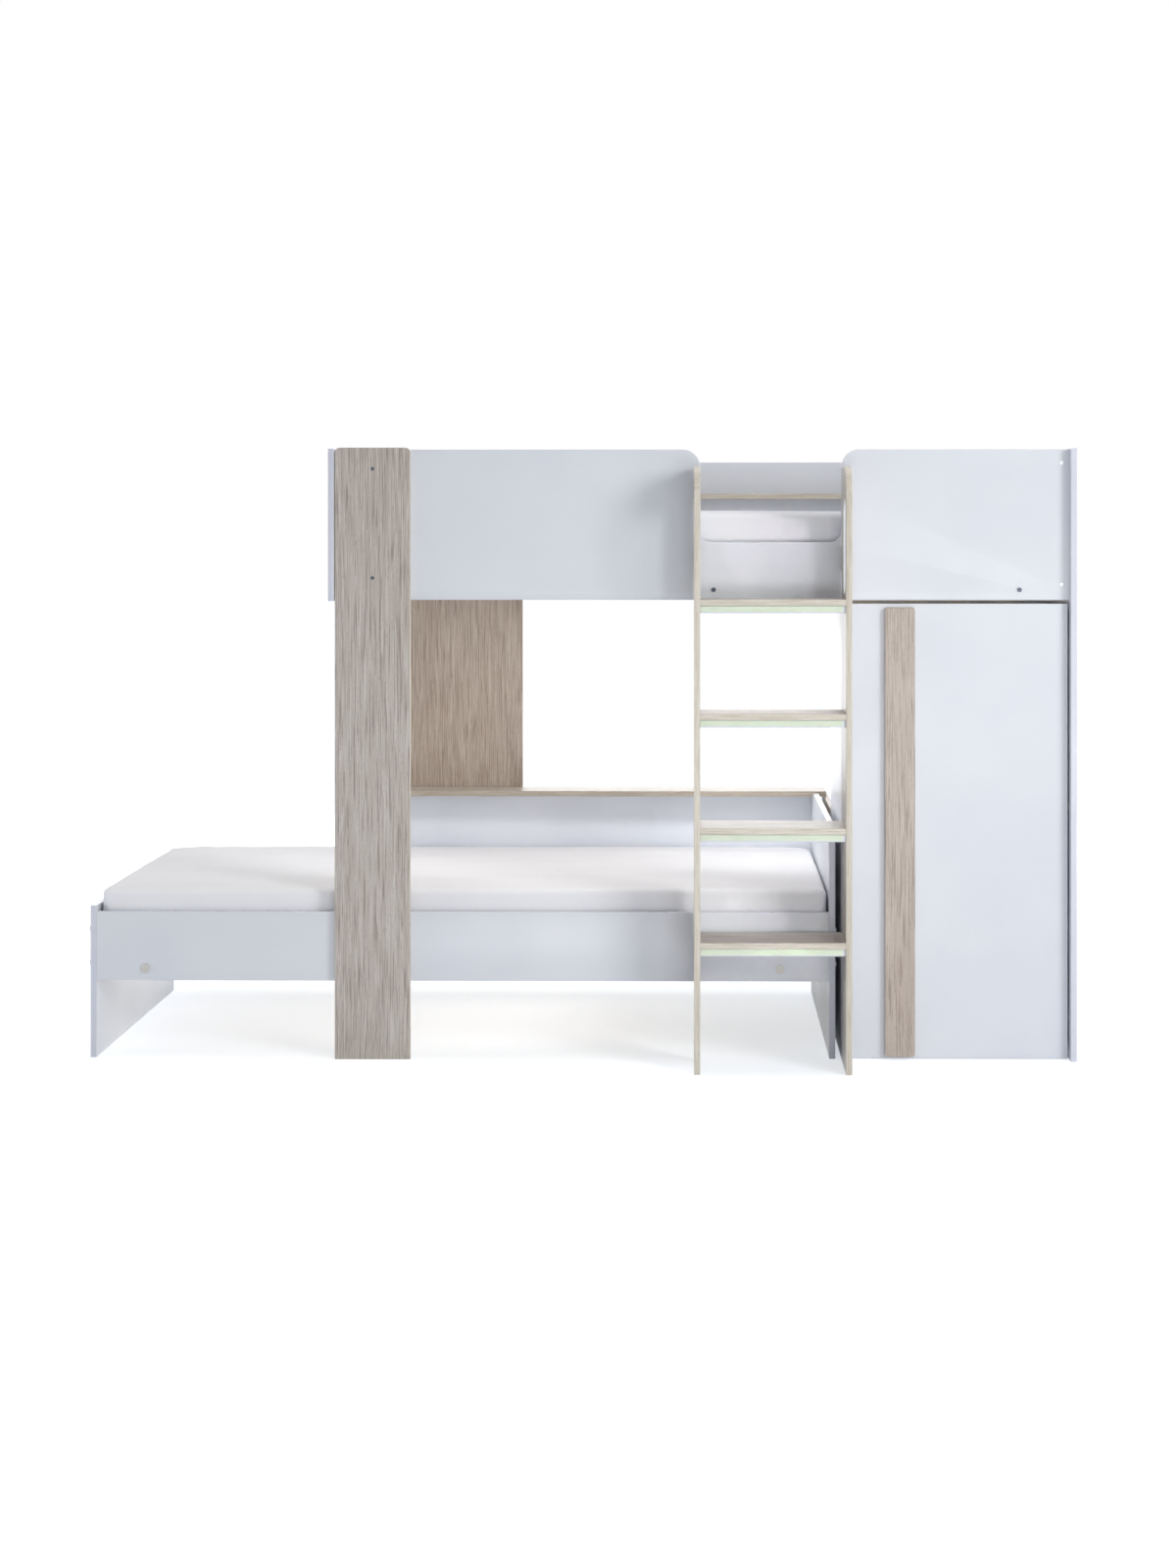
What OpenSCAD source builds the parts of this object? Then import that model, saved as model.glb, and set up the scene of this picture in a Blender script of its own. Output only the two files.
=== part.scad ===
// Offset bunk bed: a low single bed with a raised single bunk above its head end.
// The bunk stands on a wide front post, a wardrobe and a full-height side panel,
// and a ladder with four treads leads to a cut-out in its guard panel.
// Millimetres, +Z up. The origin is the bottom centre of the whole object.
// In the construction frame inside place(), x runs from the foot panel's outer
// face, y from the front face of rail and guard to the back, and z from the floor.

/* [Boards] */
// Thickness of every melamine board
board_t = 16; // [12:1:25]
// Thickness of the front post and depth of the ladder's spacer blocks
post_t = 18; // [14:1:25]

/* [Mattresses] */
// Length of each mattress
mattress_l = 1900; // [1500:10:2300]
// Width of each mattress
mattress_w = 900; // [700:10:1100]
// Height of a mattress at its border
mattress_t = 160; // [100:5:200]
// Rise of the mattress top in the middle
mattress_crown = 8; // [0:1:20]
// Free length beside a mattress, both ends together
end_play = 38; // [20:1:80]
// Free width beside a mattress, both sides together
side_play = 44; // [20:1:80]

/* [Lower bed] */
// Foot panel's top above the rails
foot_over = 16; // [0:1:120]
// Height of the head panel
head_h = 614; // [520:1:760]
// Height of a bed rail
rail_h = 182; // [150:1:220]
// Floor to the underside of the lower rails
rail_z = 204; // [150:1:210]
// Depth of the oak ledge along the back
ledge_d = 126; // [90:1:160]
// How far the ledge runs past the head panel
ledge_run = 23; // [18:1:30]
// Headboard top above the ledge's underside
ledge_notch = 10; // [6:1:14]

/* [Upper bunk] */
// Shift of the bunk along the lower bed
bunk_shift = 632; // [520:1:780]
// Floor to the underside of the guard panel
bunk_z = 1211; // [1100:1:1460]
// Height of the guard panel
guard_h = 397; // [340:1:480]
// Width of the entrance cut-out, and the clear width of the ladder
entrance_w = 373; // [300:1:450]
// Guard left standing below the entrance
sill_h = 153; // [120:1:200]
// Radius of the entrance's upper, outward corners
entrance_out_r = 46; // [20:1:60]
// Radius of the entrance's lower, inward corners
entrance_in_r = 31; // [15:1:50]
// Width of the oak front post
post_w = 199; // [150:1:240]
// Radius of the post's top corners
post_r = 13; // [5:1:30]
// Width of the oak panel behind the bunk's left end
rear_panel_w = 446; // [360:1:540]
// Depth of the oak shelf along the bunk's back panel
bunk_shelf_d = 90; // [60:1:120]

/* [Ladder] */
// Depth of a stringer and of the treads
ladder_d = 181; // [150:1:220]
// How far the stringers end below the guard's top
stringer_drop = 48; // [20:1:80]
// Radius of a stringer's top front corner
stringer_r = 70; // [20:1:90]
// Top of the lowest tread above the floor
first_tread_z = 338; // [280:1:400]
// Height of the lath under a tread's front edge
lath_h = 19; // [12:1:30]
// Length of a hand-hold slot
slot_l = 244; // [200:1:290]
// Width of a hand-hold slot
slot_w = 74; // [60:1:90]

/* [Wardrobe] */
// Depth of the wardrobe's left side
wardrobe_d = 518; // [430:1:620]
// Gap between the head panel and the wardrobe
wardrobe_gap = 16; // [10:1:30]
// How far the right side panel stands in front of the door
side_front = 30; // [25:1:40]
// Gap between the door and the wardrobe's left side
door_gap_l = 6; // [3:1:8]
// Gap between the door and the right side panel
door_gap_r = 4; // [3:1:6]
// Gap between the door and the floor
door_floor_gap = 3; // [3:1:12]
// Gap between the door and the guard panel
door_top_gap = 9.5; // [6:0.5:14]
// Width of the oak handle plank
handle_w = 79; // [60:1:100]
// Distance from the door's free edge to the handle plank
handle_in = 92; // [60:1:120]
// Height of the shelf's top above the floor
shelf_z = 356; // [280:1:430]

/* [Hidden] */

$fn = 48;
big = 4000;

// Clearances
fit = 0.3;
nut_fit = 0.1;

// Colours
white = [0.86, 0.88, 0.91];
oak = [0.70, 0.66, 0.61];
dark_oak = [0.63, 0.58, 0.53];
cloth = [0.93, 0.93, 0.94];
steel = [0.75, 0.76, 0.78];
dark_steel = [0.25, 0.25, 0.27];
pine = [0.86, 0.76, 0.58];
cream = [0.88, 0.86, 0.78];
glow = [0.80, 0.88, 0.74];

// Main planes, construction frame
inner_l = mattress_l + end_play;
inner_w = mattress_w + side_play;
bed_l = inner_l + 2 * board_t;
bed_back = inner_w + 2 * board_t;
back_face = bed_back - board_t;
rail_top = rail_z + rail_h;
foot_h = rail_top + foot_over;
ledge_z = head_h - ledge_notch;
ledge_front = bed_back - ledge_d;
bunk_x0 = bunk_shift;
bunk_in0 = bunk_x0 + board_t;
bunk_in1 = bunk_in0 + inner_l;
bunk_x1 = bunk_in1 + board_t;
guard_top = bunk_z + guard_h;
end_under = 3;
side_over = 2;
post_over = 5;
post_in = 2;
side_top = guard_top + side_over;
back_drop = 3;
sill_z = bunk_z + sill_h;
post_top = guard_top + post_over;
post_x = bunk_in0 + post_in;
rear_face = bed_back + board_t;
wardrobe_x0 = bed_l + wardrobe_gap;
wardrobe_in0 = wardrobe_x0 + board_t;
wardrobe_in1 = bunk_in1;
wardrobe_y1 = wardrobe_d - post_t;
ladder_y1 = -post_t;
ladder_y0 = ladder_y1 - ladder_d;
ladder_in1 = wardrobe_x0;
ladder_in0 = ladder_in1 - entrance_w;
total_w = bunk_x1;
mid_y = (ladder_y0 + rear_face) / 2;

// Slatted bases
batten_w = 30;
batten_h = 40;
batten_end_gap = 4;
slat_w = 70;
slat_t = 18;
slat_n = 14;
slat_side_gap = 2;
slat_end_gap = 41;
lower_batten_up = 21;
lower_batten_z = rail_z + lower_batten_up;
bunk_batten_up = 12;
bunk_batten_z = bunk_z + bunk_batten_up;

// Mattress form
mattress_r = 55;
mattress_edge = 38;
mattress_draw = 7;
mattress_pts = 60;
mattress_lift = fit;

// Fasteners
bolt_r = 3;
bolt_head_r = 6.5;
bolt_head_t = 2.5;
socket_r = 2.3;
socket_deep = 1.6;
nut_r = 5;
nut_l = board_t - 4;
nut_slot_w = 1.2;
nut_slot_deep = 0.8;
nut_in = 20;
bolt_past_nut = 9;
batten_bolt_l = 38;
ring_head_r = 6;
cap_r = 12.5;
cap_step = 0.8;
cap_inset = 130;
screw_r = 2.5;
screw_head_r = 4.75;
screw_head_t = 2.6;
screw_socket_r = 1.6;
screw_tip = 2;
dowel_r = 4;
dowel_l = 24;

// Two rows of corner bolts in a rail, and in the bunk's panels
rail_bolt_in = 46;
rail_bolt_zs = [rail_z + rail_bolt_in, rail_top - rail_bolt_in];
bunk_bolt_low = 41;
bunk_bolt_high = 35;
bunk_bolt_zs = [bunk_z + bunk_bolt_low, guard_top - bunk_bolt_high];
board_mid_ys = [board_t / 2, bed_back - board_t / 2];

// Batten bolts
lower_batten_xs = [board_t + cap_inset, bed_l - board_t - cap_inset];
lower_batten_bolt_up = 32;
lower_batten_bolt_z = rail_z + lower_batten_bolt_up;
ring_end_in = 131;
ring_ladder_in = 36;
bunk_batten_xs = [bunk_in0 + ring_end_in, ladder_in0 + ring_ladder_in, bunk_in1 - ring_end_in];
bunk_batten_bolt_up = 27;
bunk_batten_bolt_z = bunk_z + bunk_batten_bolt_up;

// Post and rear panel screws
post_screw_low = 58;
post_screw_high = 51;
post_screw_zs = [bunk_z + post_screw_low, guard_top - post_screw_high];
post_screw_x = post_x + post_w / 2;
post_screw_l = post_t + board_t - screw_tip;
rear_screw_in = 80;
rear_screw_up = 60;
rear_screw_xs = [bunk_x0 + rear_screw_in, bunk_x0 + rear_panel_w - rear_screw_in];
rear_screw_zs = [
    rail_z + rear_screw_up, ledge_z - rear_screw_up,
    bunk_z + rear_screw_up, guard_top - rear_screw_up
];
rear_screw_l = 2 * board_t - screw_tip;

// Bunk shelf
bunk_shelf_drop = 100;
bunk_shelf_z = guard_top - bunk_shelf_drop - board_t;
shelf_screw_n = 6;
shelf_screw_in = 60;
shelf_screw_l = 50;

// Ladder
tread_n = 4;
tread_top_over = 5.5;
stringer_h = guard_top - stringer_drop;
top_tread_z = bunk_z + tread_top_over;
tread_pitch = (top_tread_z - first_tread_z) / (tread_n - 1);
tread_tops = [for (i = [0 : tread_n - 1]) first_tread_z + i * tread_pitch];
lath_t = 12;
lath_back = 6;
strip_t = 1;
strip_h = 15;
strip_short = 8;
slot_front = 22;
slot_mid_y = ladder_y0 + slot_front + slot_w / 2;
slot_up = 19;
slot_z0 = bunk_z + slot_up;
liner_t = 1.6;
liner_lip = 3;
liner_lip_t = 0.8;
tread_screw_in = 45;
tread_screw_ys = [ladder_y0 + tread_screw_in, ladder_y1 - tread_screw_in];
tread_screw_l = 50;
tread_screw_in_wood = tread_screw_l - board_t + 1;
spacer_h = 60;
ladder_bolt_low = 110;
ladder_bolt_high = 59;
ladder_bolt_zs = [bunk_z + ladder_bolt_low, stringer_h - ladder_bolt_high];
ladder_nut_in = 40;

// Wardrobe
wardrobe_bottom_z = 24;
wardrobe_top_drop = 12;
wardrobe_top_z = bunk_z - wardrobe_top_drop - board_t;
board_front_gap = 2;
board_front = board_t + board_front_gap;
back_t = 6;
back_inset = 10;
groove = 6;
board_back = wardrobe_y1 - back_inset - back_t;
wardrobe_screw_in = 50;
wardrobe_screw_ys = [board_front + wardrobe_screw_in, board_back - wardrobe_screw_in];
wardrobe_screw_l = 50;
wardrobe_screw_in_wood = wardrobe_screw_l - board_t + 1;
wardrobe_board_zs = [wardrobe_bottom_z, shelf_z - board_t, wardrobe_top_z];
hang_r = 12.5;
hang_wall = 1.2;
hang_drop = 62;
hang_z = wardrobe_top_z - hang_drop;
hang_y = (board_front + board_back) / 2;
socket_out_r = 17;
socket_wall = 3;
socket_d = 14;
socket_pin_l = 8;

// Door and its fittings
door_x0 = wardrobe_in0 + door_gap_l;
door_x1 = wardrobe_in1 - door_gap_r;
door_z1 = bunk_z - door_top_gap;
handle_x0 = door_x0 + handle_in;
handle_up = 6;
handle_down = 10.5;
handle_z0 = door_floor_gap + handle_up;
handle_z1 = door_z1 - handle_down;
handle_r = 7;
handle_screw_in = 130;
door_mid_z = (door_floor_gap + door_z1) / 2;
handle_screw_zs = [door_floor_gap + handle_screw_in, door_mid_z, door_z1 - handle_screw_in];
handle_screw_l = board_t + 10;
cup_r = 17.5;
cup_floor = 4.5;
cup_deep = board_t - cup_floor;
cup_wall = 1;
cup_in = 22.5;
cup_x = door_x1 - cup_in;
cup_flange_t = 1.2;
cup_flange_w = 16;
cup_flange_l = 62;
cup_rim = 2;
cup_screw_dzs = [-24, 24];
cup_screw_l = board_t - 5;
fine_r = 1.75;
fine_head_r = 3.5;
fine_head_t = 1.8;
fine_socket_deep = 1;
fine_end_gap = 0.5;
fine_seat = 0.05;
hinge_in = 100;
hinge_mid_up = 60;
hinge_zs = [door_floor_gap + hinge_in, door_mid_z + hinge_mid_up, door_z1 - hinge_in];
plate_in = 37;
plate_y = board_t + plate_in;
plate_l = 46;
plate_w = 18;
plate_t = 3;
plate_face = wardrobe_in1 - plate_t;
wing_t = 1.5;
wing_w = 12;
wing_l = 52;
wing_screw_dzs = [-17, 17];
wing_screw_l = board_t - 3;
arm_w = 12;
arm_h = 9;
arm_front = board_t + cup_flange_t + fit;
arm_back = plate_y + 24;
arm_nose_t = 5;
arm_crank = 8;
arm_bevel = 2;
arm_fix_y = plate_y + 16;
arm_set_y = plate_y - 7;
tongue_x0 = door_x1 - 32;
tongue_x1 = door_x1 - 20;
tongue_y = 8;
pin_x = door_x1 - 28;
pin_y = 12;
pin_r = 1.5;
pin_l = 16;

// ---------------------------------------------------------------- helpers

// Moves the construction frame to the object's own frame
module place() {
    translate([-total_w / 2, -mid_y, 0]) children();
}

// A box from its lowest to its highest corner
module block(lo, hi) {
    translate(lo) cube(hi - lo);
}

// The turn that takes +Z to a named direction
function turn_to(to) =
    to == "+x" ? [0, 90, 0] :
    to == "-x" ? [0, -90, 0] :
    to == "+y" ? [-90, 0, 0] : [90, 0, 0];

// Turns +Z to a named direction at a point
module aim(at, to) {
    translate(at) rotate(turn_to(to)) children();
}

// A pan-head bolt: its head's underside at the point, its shank along the direction
module bolt(at, to, l, r = bolt_r, head_r = bolt_head_r) {
    aim(at, to) difference() {
        union() {
            cylinder(h = l, r = r);
            translate([0, 0, -bolt_head_t]) cylinder(h = bolt_head_t, r = head_r);
        }
        translate([0, 0, -bolt_head_t - 1]) cylinder(h = socket_deep + 1, r = socket_r, $fn = 6);
    }
}

// A small pan-head screw of a fitting: its head just clear of the face at the point
module fine_screw(at, to, l) {
    aim(at, to) translate([0, 0, -fine_seat]) difference() {
        union() {
            cylinder(h = l, r = fine_r);
            translate([0, 0, -fine_head_t]) cylinder(h = fine_head_t, r = fine_head_r);
        }
        translate([0, 0, -fine_head_t - 1]) cylinder(h = fine_socket_deep + 1, r = screw_socket_r, $fn = 6);
    }
}

// A countersunk screw: its head's face at the point
module screw(at, to, l) {
    aim(at, to) difference() {
        union() {
            cylinder(h = screw_head_t, r1 = screw_head_r, r2 = screw_r);
            cylinder(h = l, r = screw_r);
        }
        translate([0, 0, -1]) cylinder(h = socket_deep + 1, r = screw_socket_r, $fn = 6);
    }
}

// The hole for a bolt or a screw, open at the point
module hole(at, to, l, r) {
    aim(at, to) translate([0, 0, -1]) cylinder(h = l + 1, r = r);
}

// The hole and countersink for a screw
module screw_hole(at, to, l) {
    hole(at, to, l + 1, screw_r + fit);
    aim(at, to) translate([0, 0, -0.01])
        cylinder(h = screw_head_t, r1 = screw_head_r + fit, r2 = screw_r + fit);
}

// The pocket in an outer board for the head of a bolt that it covers
module head_relief(at, to) {
    hole(at, to, bolt_head_t + fit, ring_head_r + fit);
}

// A cross-drilled barrel nut, its slotted face at the point, its bore along `across`
module barrel_nut(at, to, across) {
    difference() {
        aim(at, to) difference() {
            cylinder(h = nut_l, r = nut_r - nut_fit);
            translate([-nut_r, -nut_slot_w / 2, -1]) cube([2 * nut_r, nut_slot_w, 1 + nut_slot_deep]);
        }
        translate(middle(at, to)) aim([0, 0, 0], across) translate([0, 0, -nut_r - 1])
            cylinder(h = 2 * nut_r + 2, r = bolt_r + nut_fit);
    }
}

// The centre of a nut's cross bore: half a board behind its face
function middle(at, to) = at + board_t / 2 * (to == "+y" ? [0, 1, 0] : to == "-y" ? [0, -1, 0] :
    to == "+x" ? [1, 0, 0] : [-1, 0, 0]);

// A rectangle with rounded corners, from its lowest corner
module rounded(w, h, r) {
    translate([r, 0]) square([w - 2 * r, h]);
    translate([0, r]) square([w, h - 2 * r]);
    for (x = [r, w - r], y = [r, h - r]) translate([x, y]) circle(r);
}

// What is cut from a square corner to round it; the corner is at the origin,
// the board lies in the quarter that (sx, sy) points to
module corner_cut(r, sx, sy) {
    difference() {
        translate([sx > 0 ? -1 : -r, sy > 0 ? -1 : -r]) square(r + 1);
        translate([sx * r, sy * r]) circle(r);
    }
}

// Turns a 2-D outline in (x, z) into a board from y0 to y1
module board_xz(y0, y1) {
    translate([0, y1, 0]) rotate([90, 0, 0]) linear_extrude(y1 - y0) children();
}

// Turns a 2-D outline in (y, z) into a board from x0 to x1
module board_yz(x0, x1) {
    translate([x0, 0, 0]) rotate([90, 0, 90]) linear_extrude(x1 - x0) children();
}

// A slot with round ends, upright, centred on the origin in y
module stadium(w, l) {
    translate([-w / 2, w / 2]) square([w, l - w]);
    translate([0, w / 2]) circle(w / 2);
    translate([0, l - w / 2]) circle(w / 2);
}

// ---------------------------------------------------------------- bed parts

// Bolts from an end board's outer face, through it and into the long boards
module corner_bolt_set(x, to, zs) {
    for (y = board_mid_ys, z = zs) bolt([x, y, z], to, board_t + nut_in + bolt_past_nut);
}

module corner_hole_set(x, to, zs) {
    for (y = board_mid_ys, z = zs) hole([x, y, z], to, board_t + nut_in + bolt_past_nut + 1, bolt_r + fit);
}

// Slats from one long board to the other, spread evenly over the bed's length
module slats(x0, z) {
    pitch = (inner_l - slat_w - 2 * slat_end_gap) / (slat_n - 1);
    start = x0 + slat_end_gap;
    for (i = [0 : slat_n - 1])
        block([start + i * pitch, board_t + slat_side_gap, z],
            [start + i * pitch + slat_w, back_face - slat_side_gap, z + slat_t]);
}

// The two battens that carry the slats, drilled for their bolts
module battens(x0, z, bolt_xs, bolt_z) {
    difference() {
        union() {
            for (y = [board_t, back_face - batten_w])
                block([x0 + batten_end_gap, y, z],
                    [x0 + inner_l - batten_end_gap, y + batten_w, z + batten_h]);
        }
        for (x = bolt_xs) {
            hole([x, board_t, bolt_z], "+y", batten_bolt_l - board_t + 1, bolt_r + fit);
            hole([x, back_face, bolt_z], "-y", batten_bolt_l - board_t + 1, bolt_r + fit);
        }
    }
}

// A point of the mattress's border, u from 0 to 1 round it, drawn in by `inset`.
// Each side is a shallow inward arc and each corner a quarter circle.
function border_corner(k) = [[1, 1], [-1, 1], [-1, -1], [1, -1]][k];
function border_point(i, inset) =
    let (per = mattress_pts / 4, k = floor(i / per), j = i - k * per, arc_n = 7, c = border_corner(k),
        hx = mattress_l / 2 - mattress_r, hy = mattress_w / 2 - mattress_r, r = mattress_r - inset,
        nxt = border_corner((k + 1) % 4), t = (j - arc_n) / (per - arc_n),
        a = 90 * k + 90 * min(j, arc_n) / arc_n,
        base = [c[0] * hx + r * cos(a), c[1] * hy + r * sin(a)],
        goal = [nxt[0] * hx + r * cos(90 * (k + 1)), nxt[1] * hy + r * sin(90 * (k + 1))],
        pull = mattress_draw * sin(180 * t))
    j <= arc_n ? base : base + (goal - base) * t - pull * [cos(90 * (k + 1)), sin(90 * (k + 1))];

// The mattress's rings from the underside to the crown: [height, inset, share of the crown's span]
edge_steps = 4;
crown_steps = 4;
function mattress_rings() = concat(
    [for (s = [0 : edge_steps]) let (a = 90 * s / edge_steps)
        [mattress_edge * (1 - cos(a)) * 0.5, mattress_edge * (1 - sin(a)) * 0.6, 1]],
    [[mattress_t * 0.5, -1.5, 1]],
    [for (s = [0 : edge_steps]) let (a = 90 * s / edge_steps)
        [mattress_t - mattress_edge * (1 - sin(a)) * 0.8, mattress_edge * (1 - cos(a)) * 0.7, 1]],
    [for (s = [1 : crown_steps]) let (t = s / (crown_steps + 1))
        [mattress_t + mattress_crown * sin(90 * t), mattress_edge * 0.7, 1 - t]]
);

module mattress(x0, z) {
    rings = mattress_rings();
    n = mattress_pts;
    m = len(rings);
    points = concat(
        [for (g = rings, i = [0 : n - 1]) let (p = border_point(i, g[1])) [p[0] * g[2], p[1] * g[2], g[0]]],
        [[0, 0, 0], [0, 0, mattress_t + mattress_crown]]
    );
    faces = concat(
        [for (k = [0 : m - 2], i = [0 : n - 1]) let (a = k * n, b = a + n, j = (i + 1) % n)
            [a + i, b + i, a + j]],
        [for (k = [0 : m - 2], i = [0 : n - 1]) let (a = k * n, b = a + n, j = (i + 1) % n)
            [a + j, b + i, b + j]],
        [for (i = [0 : n - 1]) [m * n, i, (i + 1) % n]],
        [for (i = [0 : n - 1]) [m * n + 1, (m - 1) * n + (i + 1) % n, (m - 1) * n + i]]
    );
    translate([x0 + inner_l / 2, board_t + inner_w / 2, z + mattress_lift])
        polyhedron(points = points, faces = faces);
}

// ---------------------------------------------------------------- lower bed

module lower_footboard() {
    color(white) place() difference() {
        block([0, 0, 0], [board_t, bed_back, foot_h]);
        corner_hole_set(0, "+x", rail_bolt_zs);
    }
}

module lower_headboard() {
    color(white) place() difference() {
        block([bed_l - board_t, 0, 0], [bed_l, bed_back, head_h]);
        block([bed_l - board_t - 1, ledge_front - fit, ledge_z], [bed_l + 1, bed_back + 1, head_h + 1]);
        corner_hole_set(bed_l, "-x", rail_bolt_zs);
    }
}

// A lower rail: corner bolts in both ends, barrel nuts and batten bolts in its face
module lower_rail(y0, inner_face, to) {
    difference() {
        block([board_t, y0, rail_z], [bed_l - board_t, y0 + board_t, rail_top]);
        corner_hole_set(0, "+x", rail_bolt_zs);
        corner_hole_set(bed_l, "-x", rail_bolt_zs);
        for (x = [board_t + nut_in, bed_l - board_t - nut_in], z = rail_bolt_zs)
            hole([x, inner_face, z], to, nut_l + 1, nut_r);
        for (x = lower_batten_xs) hole([x, inner_face, lower_batten_bolt_z], to, board_t + 1, bolt_r + fit);
    }
}

module lower_front_rail() {
    color(white) place() lower_rail(0, board_t, "-y");
}

module lower_rear_rail() {
    color(white) place() difference() {
        lower_rail(back_face, back_face, "+y");
        for (x = rear_screw_xs)
            hole([x, bed_back, rear_screw_zs[0]], "-y", rear_screw_l - board_t + 1, screw_r + fit);
    }
}

module lower_back_board() {
    color(white) place() difference() {
        block([bunk_x0, back_face, rail_top], [bed_l - board_t, bed_back, ledge_z]);
        for (x = rear_screw_xs)
            hole([x, bed_back, rear_screw_zs[1]], "-y", rear_screw_l - board_t, screw_r + fit);
        ledge_dowel_holes(ledge_z, "-z");
    }
}

module back_ledge() {
    color(oak) place() difference() {
        block([bunk_x0, ledge_front, ledge_z], [bed_l + ledge_run, bed_back, ledge_z + board_t]);
        ledge_dowel_holes(ledge_z, "+z");
    }
}

// Dowels between the back board and the ledge
ledge_dowel_n = 4;
ledge_dowel_in = 60;
ledge_dowel_x0 = bunk_x0 + ledge_dowel_in;
ledge_dowel_span = bed_l - board_t - ledge_dowel_in - ledge_dowel_x0;
ledge_dowel_xs = [for (i = [0 : ledge_dowel_n - 1])
    ledge_dowel_x0 + i * ledge_dowel_span / (ledge_dowel_n - 1)];
ledge_dowel_up = 10;

module ledge_dowel_holes(z, to) {
    for (x = ledge_dowel_xs) translate([x, bed_back - board_t / 2, z])
        translate([0, 0, to == "+z" ? -1 : -(dowel_l - ledge_dowel_up) - 1])
            cylinder(h = (to == "+z" ? ledge_dowel_up : dowel_l - ledge_dowel_up) + 2, r = dowel_r + fit);
}

module ledge_dowels() {
    color(pine) place() for (x = ledge_dowel_xs)
        translate([x, bed_back - board_t / 2, ledge_z + ledge_dowel_up - dowel_l])
            cylinder(h = dowel_l, r = dowel_r);
}

module lower_battens() {
    color(pine) place() battens(board_t, lower_batten_z, lower_batten_xs, lower_batten_bolt_z);
}

module lower_slats() {
    color(pine) place() slats(board_t, lower_batten_z + batten_h);
}

module lower_mattress() {
    color(cloth) place() mattress(board_t, lower_batten_z + batten_h + slat_t);
}

module lower_corner_bolts() {
    color(steel) place() {
        corner_bolt_set(0, "+x", rail_bolt_zs);
        corner_bolt_set(bed_l, "-x", rail_bolt_zs);
    }
}

module lower_barrel_nuts() {
    color(steel) place() for (x = [board_t + nut_in, bed_l - board_t - nut_in], z = rail_bolt_zs) {
        barrel_nut([x, board_t, z], "-y", "+x");
        barrel_nut([x, back_face, z], "+y", "+x");
    }
}

module lower_batten_bolts() {
    color(steel) place() for (x = lower_batten_xs) {
        bolt([x, 0, lower_batten_bolt_z], "+y", batten_bolt_l);
        bolt([x, bed_back, lower_batten_bolt_z], "-y", batten_bolt_l);
    }
}

// Shallow round caps that cover the front batten bolts' heads
module rail_cover_caps() {
    color(cream) place() for (x = lower_batten_xs) aim([x, 0, lower_batten_bolt_z], "-y") difference() {
        union() {
            cylinder(h = bolt_head_t + cap_step, r = cap_r - cap_step);
            translate([0, 0, cap_step]) cylinder(h = bolt_head_t, r = cap_r);
        }
        translate([0, 0, -1]) cylinder(h = bolt_head_t + 1 + fit, r = bolt_head_r + fit);
    }
}

// ---------------------------------------------------------------- upper bunk

// The guard's outline in (x, z), with the entrance cut-out
module guard_outline() {
    difference() {
        translate([bunk_in0, bunk_z]) square([inner_l, guard_h]);
        translate([ladder_in0, sill_z + entrance_in_r]) square([entrance_w, guard_h]);
        translate([ladder_in0 + entrance_in_r, sill_z]) square([entrance_w - 2 * entrance_in_r, guard_h]);
        for (x = [ladder_in0 + entrance_in_r, ladder_in1 - entrance_in_r])
            translate([x, sill_z + entrance_in_r]) circle(entrance_in_r);
        translate([ladder_in0, guard_top]) corner_cut(entrance_out_r, -1, -1);
        translate([ladder_in1, guard_top]) corner_cut(entrance_out_r, 1, -1);
    }
}

// Bores of the bunk's long boards: corner bolts and barrel nuts at both ends
module bunk_board_bores(nut_face, to) {
    corner_hole_set(bunk_x0, "+x", bunk_bolt_zs);
    corner_hole_set(bunk_x1, "-x", bunk_bolt_zs);
    for (x = [bunk_in0 + nut_in, bunk_in1 - nut_in], z = bunk_bolt_zs)
        hole([x, nut_face, z], to, nut_l + 1, nut_r);
}

module bunk_guard() {
    color(white) place() difference() {
        board_xz(0, board_t) guard_outline();
        bunk_board_bores(0, "+y");
        for (x = bunk_batten_xs) hole([x, 0, bunk_batten_bolt_z], "+y", board_t + 1, bolt_r + fit);
        for (z = post_screw_zs) hole([post_screw_x, 0, z], "+y", post_screw_l - post_t, screw_r + fit);
        for (x = stringer_mids, z = ladder_bolt_zs) hole([x, board_t, z], "-y", board_t + 1, bolt_r + fit);
    }
}

module bunk_left_end() {
    color(white) place() difference() {
        block([bunk_x0, -post_t, bunk_z - end_under], [bunk_in0, bed_back, side_top]);
        corner_hole_set(bunk_x0, "+x", bunk_bolt_zs);
    }
}

module bunk_back_panel() {
    color(white) place() difference() {
        block([bunk_in0, back_face, bunk_z], [bunk_in1, bed_back, guard_top - back_drop]);
        bunk_board_bores(bed_back, "-y");
        for (x = bunk_batten_xs) hole([x, bed_back, bunk_batten_bolt_z], "-y", board_t + 1, bolt_r + fit);
        for (x = rear_screw_xs, z = [rear_screw_zs[2], rear_screw_zs[3]])
            hole([x, bed_back, z], "-y", rear_screw_l - board_t, screw_r + fit);
        for (x = shelf_screw_xs) screw_hole([x, bed_back, bunk_shelf_z + board_t / 2], "-y", board_t + 1);
    }
}

// Screws through the back panel into the shelf's rear edge, clear of the rear oak panel
shelf_screw_x0 = bunk_x0 + rear_panel_w + shelf_screw_in;
shelf_screw_xs = [for (i = [0 : shelf_screw_n - 1])
    shelf_screw_x0 + i * (bunk_in1 - shelf_screw_in - shelf_screw_x0) / (shelf_screw_n - 1)];

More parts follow.
